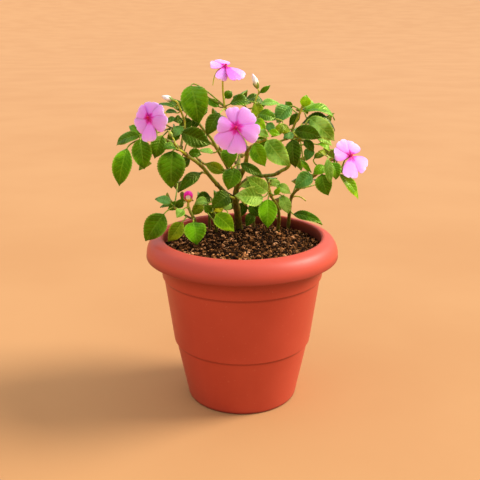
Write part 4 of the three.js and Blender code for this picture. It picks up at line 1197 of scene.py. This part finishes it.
# %% Petals
PETAL_THICK = 0.42
PETAL_LAYER = 0.85
NOTCH, NOTCH_WIDTH = 0.08, 0.35
PETAL_ARCH, PETAL_CUP, TIP_BEND, PETAL_WAVE = 0.09, 1.1, 0.7, 0.3
PETAL_ROWS = [0.05, 0.12, 0.2, 0.29, 0.38, 0.47, 0.56, 0.65, 0.74, 0.81, 0.87, 0.92, 0.955, 0.98, 1.0]
PETAL_COLUMNS = 13
PETAL_WIDTHS = [
    (0.05, 0.1), (0.2, 0.34), (0.38, 0.68), (0.56, 0.91), (0.7, 0.99), (0.78, 1.0), (0.85, 0.98),
    (0.9, 0.92), (0.94, 0.82), (0.97, 0.68), (0.99, 0.54), (1.0, 0.42),
]


def grow_petal(clay, eye, tip, width, out, layer, hue, draw):
    length = np.linalg.norm(tip - eye)
    along = unit(tip - eye)
    up = unit(out - along * (out @ along))
    over = np.cross(up, along)
    u = np.array(PETAL_ROWS)[:, None]
    v = np.linspace(-1, 1, PETAL_COLUMNS)[None, :]
    share = np.interp(u, *zip(*PETAL_WIDTHS))
    notch = u**9 * (0.6 * NOTCH * bell(v, NOTCH_WIDTH) + 0.02 * v**2)
    wave = PETAL_WAVE * u**2 * np.sin(draw.uniform(0, 6.3) + 4.5 * v + 3 * u)
    arch = PETAL_ARCH * length * u * (1 - u)
    lift = PETAL_LAYER * layer + arch - PETAL_CUP * v**2 * share - TIP_BEND * u**6 + wave
    flat = eye + (along * length) * (u - notch)[..., None] + over * (v * share * width / 2)[..., None]
    middle = flat + up * lift[..., None]
    thick = up * PETAL_THICK / 2
    tint = np.array([*(draw.uniform(0.93, 1.03, 3) * hue), 1])
    shell(clay, middle + thick, middle - thick, 0, map_of(u, v), tint)


# %% [markdown]
# ## Eye, throat and spur
# The eye is a little dome with five reddish pink anthers, seated in the throat. The spur is a thin tube
# that curls away behind. Both are seen only from close by or from the side, so plain tubes are enough for
# them.

# %% Blooms
EYE_RADIUS = 1.4
# One petal of bloom_top gets a darker tint as painted shade
SHADED_PETAL = {"bloom_top": 2}
PETAL_STRETCH = {"bloom_right": 1.15}
SHADE_TINT = np.array([0.95, 0.45, 0.75])
THROAT_COLOURS = [shade(120, 140, 60), shade(200, 6, 120)]
ANTHER_COLOUR = shade(224, 36, 96)
SPUR_COLOURS = [shade(214, 130, 180), shade(206, 206, 100), shade(206, 220, 80)]
ANTHER_COUNT = 5
SPUR_RINGS = 22


def grow_bloom(name, seed):
    plan = BLOOMS[name]
    clay = Clay()
    draw = np.random.default_rng(seed)
    centre = seen(plan["eye"])
    _, out = seat(name)
    for i, (across, height, nearer, width) in enumerate(plan["petals"]):
        # The shaded petal's tint is painted shade
        hue = SHADE_TINT if i == SHADED_PETAL.get(name) else 1.0
        width = width * PETAL_STRETCH.get(name, 1.0)
        grow_petal(clay, centre, seen([across, height, nearer]), width, out, (i % 3) - 1, hue, draw)
    steps = np.linspace(-THROAT, EYE_RADIUS, 10)[:, None]
    radii = np.interp(steps[:, 0], [-THROAT, -1.5, 0, 0.9, EYE_RADIUS], [1.4, 1.8, 1.8, 1.2, 0.5])
    tube(clay, centre + out * steps, radii, 14, 1, blend(THROAT_COLOURS, steps[:, 0] + 3))
    side = unit(np.cross(out, [0.3, 0.1, 0.9]))
    for k in range(ANTHER_COUNT):
        angle = 2 * math.pi * k / ANTHER_COUNT
        lean = side * math.cos(angle) + np.cross(out, side) * math.sin(angle)
        knob = centre + out * 1.2 + lean * 0.7 + out * np.linspace(0, 1.4, 5)[:, None]
        tube(clay, knob, [0.3, 0.4, 0.46, 0.4, 0.2], 6, 1, ANTHER_COLOUR)
    hook = Vine([centre - 0.4 * THROAT * out, *[seen(spot) for spot in plan["spur"]]])
    distances = np.linspace(0, hook.length, SPUR_RINGS)
    colours = blend(SPUR_COLOURS, distances / hook.length)
    tube(clay, hook.at(distances), np.linspace(1.0, 0.42, SPUR_RINGS), 10, 1, colours)
    fired(name + "_fine", clay, [PETAL, BUD], name)


for seed, name in enumerate(BLOOMS):
    grow_bloom(name, seed + 60)

# %% [markdown]
# ## Buds
# A bud is a furled flower held by small sepals. Its form is a tube with a plump belly, and low ridges that
# wind round it show where the petals are rolled over each other. Three narrow sepals hug its base. The
# magenta one is just opening: a hood of petal wraps a pale core and leaves a window in front.

# %% Buds
BUD_GIRTHS = [
    (0, 0.3), (0.06, 0.46), (0.12, 0.62), (0.24, 0.88), (0.35, 1.0), (0.5, 0.98), (0.62, 0.9),
    (0.75, 0.72), (0.86, 0.5), (0.95, 0.3), (1, 0.18),
]
BUD_SIDES = 24
BUD_FILL, CORE_FILL = 0.96, 0.74
BUD_COLOURS = {
    "bud_white_left": [(150, 164, 60), (232, 232, 190), (248, 246, 232), (252, 250, 240), (244, 238, 222)],
    "bud_white_top": [(150, 164, 50), (196, 204, 96), (244, 240, 222), (254, 250, 248), (246, 228, 236)],
    "bud_magenta": [(206, 200, 50), (238, 220, 70), (255, 240, 220), (255, 248, 250), (255, 236, 246)],
    "bud_green": [(120, 140, 44), (158, 172, 54), (182, 190, 70), (196, 200, 84), (188, 184, 70)],
}
SEPAL_COLOURS = {"bud_magenta": (224, 206, 60)}
SEPAL_GREEN = (128, 150, 52)
SEPAL_LENGTH = 0.42
HOOD_GIRTHS = [(0.1, 0.5), (0.24, 0.88), (0.4, 1.0), (0.72, 1.0), (0.86, 0.84), (0.95, 0.52), (1, 0.2)]
HOOD_COLOURS = [(222, 200, 60), (232, 60, 130), (240, 0, 150), (246, 10, 170), (248, 40, 180)]


def wrap_hood(clay, base, tip, radius):
    u = np.linspace(0.1, 1, 18)[:, None]
    v = np.linspace(-1, 1, 25)[None, :]
    along = unit(tip - base)
    front = EYE - base
    front = unit(front - along * (front @ along))
    side = np.cross(along, front)
    window = math.radians(58) * np.sin(math.pi * np.clip((u - 0.1) / 0.62, 0, 1)) ** 0.7
    angle = math.pi + v * (math.pi - window)
    girth = np.interp(u, *zip(*HOOD_GIRTHS)) * radius * (1 + 0.05 * np.cos(2.5 * angle))
    spokes = front * np.cos(angle)[..., None] + side * np.sin(angle)[..., None]
    middle = base + (along * np.linalg.norm(tip - base)) * u[..., None] + spokes * (girth - 0.3)[..., None]
    thick = spokes * 0.22
    tones = blend([shade(*colour) for colour in HOOD_COLOURS], np.broadcast_to(u, angle.shape).reshape(-1))
    shell(clay, middle + thick, middle - thick, 0, map_of(u, v), np.concatenate([tones, tones]))


def add_sepals(clay, base, tip, radius, colour):
    along = unit(tip - base)
    side = unit(np.cross(along, [0.2, 1.0, 0.3]))
    s = np.linspace(0, 1, 8)[:, None]
    v = np.array([-1, -0.4, 0.4, 1])[None, :]
    reach = np.interp(SEPAL_LENGTH * s, *zip(*BUD_GIRTHS)) * radius + 0.15
    spread = 0.75 * radius * np.sin(math.pi * np.clip(0.18 + 0.82 * s, 0, 0.97)) / 1.6
    line = base + along * np.linalg.norm(tip - base) * SEPAL_LENGTH * s
    for k in range(3):
        away = turned(side, along, 120 * k + 25)
        over = np.cross(along, away)
        hug = away * (reach * (1 - 0.12 * v**2))[..., None]
        sepal = line[:, None, :] + hug + over * (spread * v)[..., None]
        thick = away * 0.15
        shell(clay, sepal + thick, sepal - thick, 0, map_of(s, v), colour)


def grow_bud(name):
    plan = BUDS[name]
    clay = Clay()
    base, tip = seen(plan["base"]), seen(plan["tip"])
    u = np.linspace(0, 1, 26)
    girth = np.interp(u, *zip(*BUD_GIRTHS)) * plan["radius"]
    angles = around(BUD_SIDES)
    ridges = 1 + 0.1 * np.cos(3 * angles[None, :] + 7 * u[:, None]) * np.sin(math.pi * u[:, None])
    tints = blend([shade(*colour) for colour in BUD_COLOURS[name]], u)
    opening = name == "bud_magenta"
    radii = girth[:, None] * ridges * (CORE_FILL if opening else BUD_FILL)
    tube(clay, base + (tip - base) * u[:, None], radii, BUD_SIDES, 0, tints)
    if opening:
        wrap_hood(clay, base, tip, plan["radius"])
    add_sepals(clay, base, tip, plan["radius"], shade(*SEPAL_COLOURS.get(name, SEPAL_GREEN)))
    fired(name + "_fine", clay, [BUD], name)


for name, slot in zip(BUDS, ("bud_white", "bud_white", "bud_magenta", "bud_green")):
    grow_bud(name)

# %% [markdown]
# ## The pot
# One moulded shell: a rolled rim, a plain band, two faint steps in the wall and a flat base with drainage
# holes. It is turned like on a lathe from the same section as its solid, but in 144 sides and with every
# corner rounded by a few extra points, because plastic has no knife edges. The holes are cut with a
# boolean.

# %% Pot
BASE_RADIUS, WALL, FLOOR, RIM_RADIUS, RIM_HEIGHT, MOUTH_RADIUS = 58.5, 2.6, 3.4, 100, 178.5, 82.4
POT_SIDES = 144
POT_CREASE = 35
# Each corner is [radius, height, rounding]. They run up the outside, over the rim and down the inside.
POT_SECTION = [
    [12, 0, 0], [BASE_RADIUS, 0, 2.4], [71.2, 64.4, 0.3], [73, 64.9, 0.4], [82.4, 136.1, 0.3],
    [84, 136.6, 0.4], [86.1, 158, 2], [87.2, 168.6, 3.2], [93.2, 168.6, 3], [97, 157, 1.1],
    [RIM_RADIUS, 157.4, 1.3], [RIM_RADIUS - 1, 167.5, 6], [94, 175.6, 6], [85.4, RIM_HEIGHT + 0.2, 2.6],
    [MOUTH_RADIUS - 0.2, RIM_HEIGHT - 0.8, 1.6], [82, 168, 2], [86 - WALL, 157, 2], [83 - WALL, 137, 1],
    [72 - WALL, 66, 1], [BASE_RADIUS - WALL, FLOOR, 2.4], [12, FLOOR, 0],
]


def rounded(section, steps=5):
    points = []
    for i, (x, z, radius) in enumerate(section):
        corner = np.array([x, z], dtype=float)
        if not radius:
            points.append(corner)
            continue
        before = np.array(section[i - 1][:2], dtype=float) - corner
        after = np.array(section[(i + 1) % len(section)][:2], dtype=float) - corner
        reach = min(radius, 0.45 * np.linalg.norm(before), 0.45 * np.linalg.norm(after))
        a, b = corner + unit(before) * reach, corner + unit(after) * reach
        for t in np.linspace(0, 1, steps):
            points.append((1 - t) ** 2 * a + 2 * t * (1 - t) * corner + t**2 * b)
    return points


def ring(radius, height, angles):
    return [(radius * math.cos(a), radius * math.sin(a), height) for a in angles]


def turn_pot():
    clay = Clay()
    points = [ring(radius, height, around(POT_SIDES)) for radius, height in rounded(POT_SECTION)]
    rows = len(points)
    ids = np.arange(rows * POT_SIDES).reshape(rows, POT_SIDES)
    under, inside = ids[0], ids[-1]
    faces = [*grid(rows, POT_SIDES, closed=True), tuple(under[::-1]), tuple(inside)]
    clay.add(np.array(points).reshape(-1, 3), faces, 0, (0, 0), (1, 1, 1, 1))
    return clay


pot = fired("pot_fine", turn_pot(), [PLASTIC], "pot", crease=POT_CREASE)

# %% [markdown]
# ## Drainage holes
# Four round holes let the water out. A boolean cut is the plain way to open them in a turned shell, and it
# is applied at once, so that the piece stays a simple mesh.

# %% Drainage holes
DRAIN_RADIUS, DRAIN_CIRCLE, DRAIN_COUNT, DRILL_LENGTH = 5, 34, 4, 12

for i in range(DRAIN_COUNT):
    angle = math.pi * (2 * i + 1) / DRAIN_COUNT
    place = (DRAIN_CIRCLE * math.cos(angle) / 1000, DRAIN_CIRCLE * math.sin(angle) / 1000, FLOOR / 2000)
    bpy.ops.mesh.primitive_cylinder_add(
        vertices=40, radius=DRAIN_RADIUS / 1000, depth=DRILL_LENGTH / 1000, location=place)
    drill = bpy.context.object
    cut = pot.modifiers.new("drain", "BOOLEAN")
    cut.operation, cut.object, cut.solver = "DIFFERENCE", drill, "EXACT"
    bpy.context.view_layer.objects.active = pot
    bpy.ops.object.modifier_apply(modifier=cut.name)
    bpy.data.objects.remove(drill, do_unlink=True)
pot.data.set_sharp_from_angle(angle=math.radians(POT_CREASE))
print("pot has", len(pot.data.polygons), "faces")

# %% [markdown]
# ## The soil
# Potting soil is a loose mound of crumbs, bark chips and fibres. A flat disc with a bump map would give
# itself away at the low camera angle, so the top is a fine mesh pushed up and down by several sizes of
# noise.

# %% Soil mound
SOIL_EDGE_HEIGHT, SOIL_MOUND, MOUND_RADIUS, CRUMB_HEIGHT = 167.5, 5.5, 80, 1.3
TOP_RINGS, TOP_SIDES, TOP_RADIUS = 72, 240, 81.0
SOIL_SIDE = [
    (BASE_RADIUS - WALL - 2.6, FLOOR + GAP), (BASE_RADIUS - WALL - 0.6, FLOOR + 2.8),
    (72 - WALL - 0.6, 66.3), (83 - WALL - 0.6, 137.4), (86 - WALL - 0.9, 157),
    (TOP_RADIUS + 0.3, SOIL_EDGE_HEIGHT - 1.5),
]
SOIL_TONES = [
    shade(15, 6, 1), shade(49, 27, 9), shade(108, 67, 30), shade(164, 107, 60), shade(210, 146, 94),
    shade(236, 182, 132),
]
SIDE_TONE = 0.2
draw = np.random.default_rng(90)


def mound(x, y):
    swell = CRUMB_HEIGHT * math.sin(x * 0.61 + 1.3 * math.sin(y * 0.37)) * math.cos(y * 0.53 - x * 0.17)
    return SOIL_EDGE_HEIGHT + SOIL_MOUND * (1 - (math.hypot(x, y) / MOUND_RADIUS) ** 2) + 0.6 * swell


def crumbly(x, y):
    coarse = field.noise((x * 0.22, y * 0.22, 1.7))
    fine = field.turbulence((x * 0.5, y * 0.5, 8.1), 3, False)
    return 2.2 * coarse + 3.0 * (fine - 0.5)


def heap_soil():
    clay = Clay()
    angles = around(TOP_SIDES)
    points, shades = [], []
    for radius, height in SOIL_SIDE:
        points += ring(radius, height, angles)
        shades += [SIDE_TONE] * TOP_SIDES
    for radius in np.linspace(TOP_RADIUS, 1.0, TOP_RINGS):
        edge = min(1.0, (TOP_RADIUS + 1 - radius) / 4)
        for x, y, _ in ring(radius, 0, angles):
            rough = crumbly(x, y)
            points.append((x, y, mound(x, y) + rough * edge))
            # Hollows of the mound get a darker tint and bumps a lighter one: painted shade in the hollows,
            # plus random tone
            shades.append(0.18 + 0.12 * rough + draw.uniform(-0.08, 0.14))
    rows = len(SOIL_SIDE) + TOP_RINGS
    ids = np.arange(rows * TOP_SIDES).reshape(rows, TOP_SIDES)
    faces = [*grid(rows, TOP_SIDES, closed=True), tuple(ids[0][::-1]), tuple(ids[-1])]
    clay.add(np.array(points), faces, 0, (0, 0), blend(SOIL_TONES, shades))
    return clay


soil = heap_soil()
print("soil mound:", soil.count, "points")

# %% [markdown]
# ## Crumbs and chips
# Loose crumbs catch the light and make the soil read as soil. Each is a small lump with its own size,
# squash, turn and tint, sunk a third into the mound, and none stands where a stem rises. They are joined
# into the mound's piece, because thousands of objects would be slow and particles are not part of a mesh.

# %% Crumbs
LUMP_COUNT = 3500
SCATTER_RADIUS = 80.5
LEAST_LUMP, LUMP_SPREAD, FINE_LUMP = 0.5, 1.45, 1.05
STEM_ROOM = 3
STEM_FEET = [seen(plan["stems"][0]["at"][0]) for plan in SOIL_STEMS.values()] + [seen(TRUNK["at"][0])]


def lump_form(levels):
    work = bmesh.new()
    bmesh.ops.create_icosphere(work, subdivisions=levels, radius=1)
    points = np.array([vertex.co[:] for vertex in work.verts])
    faces = [tuple(vertex.index for vertex in face.verts) for face in work.faces]
    work.free()
    return points, faces


LUMPS = [lump_form(1), lump_form(2)]


def any_place(reach):
    radius, angle = reach * math.sqrt(draw.uniform()), draw.uniform(0, 2 * math.pi)
    return radius, radius * math.cos(angle), radius * math.sin(angle)


def tumble(spin, tilt):
    turn = np.array([[math.cos(spin), -math.sin(spin), 0], [math.sin(spin), math.cos(spin), 0], [0, 0, 1]])
    lean = np.array([[1, 0, 0], [0, math.cos(tilt), -math.sin(tilt)], [0, math.sin(tilt), math.cos(tilt)]])
    return (turn @ lean).T


def scatter(clay):
    for _ in range(LUMP_COUNT):
        radius, x, y = any_place(SCATTER_RADIUS)
        size = LEAST_LUMP + LUMP_SPREAD * draw.uniform() ** 2
        room = min(math.hypot(x - f[0], y - f[1]) for f in STEM_FEET)
        if room < STEM_ROOM + size or radius + size > TOP_RADIUS:
            continue
        points, faces = LUMPS[1 if size > FINE_LUMP else 0]
        shape = points * (1 + draw.uniform(-0.3, 0.3, (len(points), 1)))
        shape = shape * [draw.uniform(0.8, 1.5), draw.uniform(0.7, 1.1), draw.uniform(0.45, 0.9)]
        spin, tilt = draw.uniform(0, 2 * math.pi), draw.uniform(-0.5, 0.5)
        place = np.array([x, y, mound(x, y) + crumbly(x, y) + 0.25 * size])
        tint = blend(SOIL_TONES, draw.beta(1.5, 2.2))
        clay.add(shape @ tumble(spin, tilt) * size + place, faces, 0, (0, 0), tint)


scatter(soil)
print("soil with crumbs:", soil.count, "points")

# %% [markdown]
# ## Fibres
# A few peat fibres and straw bits lie across the crumbs. A hair system could strew them, but its strands
# are not part of the mesh. Each is a thin bent tube instead, laid along the mound's height.

# %% Fibres
FIBRE_COUNT = 130
FIBRE_POINTS = 6
FIBRE_REACH = 74


def lay_fibres(clay):
    for _ in range(FIBRE_COUNT):
        _, x, y = any_place(FIBRE_REACH)
        heading, bend, length = draw.uniform(0, 2 * math.pi), draw.uniform(-0.9, 0.9), draw.uniform(3, 9)
        line = []
        for t in np.linspace(-0.5, 0.5, FIBRE_POINTS):
            px = x + length * t * math.cos(heading + bend * t)
            py = y + length * t * math.sin(heading + bend * t)
            if math.hypot(px, py) > MOUND_RADIUS:
                break
            line.append((px, py, mound(px, py) + crumbly(px, py) + 0.35 + 0.5 * math.cos(3 * t)))
        if len(line) == FIBRE_POINTS:
            thick = draw.uniform(0.16, 0.34)
            tint = blend(SOIL_TONES, draw.uniform(0.5, 1))
            tube(clay, np.array(line), np.full(FIBRE_POINTS, thick), 5, 0, tint)


lay_fibres(soil)
fired("soil_fine", soil, [SOIL], "soil", crease=60)

# %% [markdown]
# ## Floor and light
# The pot stands on a plain pale floor of a sandy tone. A plain plane would end in a hard horizon, so the
# floor is a wide disc whose far edge rises gently and fills the view. The photograph's light is soft hazy
# sun from the right, about 38 degrees high, with a bright sky. A wide sun lamp gives shadows that soften
# with distance, and the world fills the shade.

# %% Floor, lamp and sky
FLOOR_RINGS = [0.5, 1, 2, 4, 8, 12, 16, 20, 25, 30]
FLOOR_SIDES, FLAT_RADIUS, FLOOR_RADIUS, EDGE_RISE = 96, 8, 30, 3.2
SUN_HEIGHT, SUN_ASIDE, SUN_SPREAD, SUN_POWER = 38, 98, 26, 4.4
SUN_COLOUR, SKY_COLOUR = (1.0, 0.945, 0.865), (0.9, 0.92, 0.98, 1)
SKY_POWER = (0.65, 1.25)
FRONT_SHARE = 0.95


def floor_finish():
    material, tree, shader = new_finish("pale_floor", 0.9)
    grit = grain(tree, 3.0, 4.0)
    tone = mixed(tree, fade(tree, grit, 0.3, 0.7), shade(182, 130, 78), shade(187, 136, 84))
    tree.links.new(tone, shader.inputs["Base Color"])
    return material


def lay_floor():
    points = []
    for radius in FLOOR_RINGS:
        climb = max(0.0, (radius - FLAT_RADIUS) / (FLOOR_RADIUS - FLAT_RADIUS))
        points += ring(radius, EDGE_RISE * climb**1.5, around(FLOOR_SIDES))
    mesh = bpy.data.meshes.new("floor")
    faces = [tuple(map(int, face)) for face in grid(len(FLOOR_RINGS), FLOOR_SIDES, closed=True)]
    mesh.from_pydata(points, [], [tuple(range(FLOOR_SIDES)), *faces])
    mesh.shade_smooth()
    mesh.materials.append(floor_finish())
    floor = bpy.data.objects.new("floor", mesh)
    bpy.context.collection.objects.link(floor)


lay_floor()
sun = bpy.data.objects.new("key_light", bpy.data.lights.new("key_light", "SUN"))
sun.data.energy = SUN_POWER
sun.data.angle = math.radians(SUN_SPREAD)
sun.data.color = SUN_COLOUR
sun.rotation_euler = (math.radians(90 - SUN_HEIGHT), 0, math.radians(SUN_ASIDE))
bpy.context.collection.objects.link(sun)

world = bpy.data.worlds.new("soft_sky")
world.use_nodes = True
sky = world.node_tree
ways = put(sky, "SeparateXYZ", {0: put(sky, "TexCoord", {})}).node.outputs
overhead = fade(sky, ways[2], -0.1, 0.9, *SKY_POWER)
power = product(sky, overhead, fade(sky, ways[1], -0.9, 0.5, FRONT_SHARE, 1.0))
sky.links.new(power, sky.nodes["Background"].inputs["Strength"])
sky.nodes["Background"].inputs["Color"].default_value = SKY_COLOUR
bpy.context.scene.world = world
bpy.context.scene.view_settings.view_transform = "Standard"
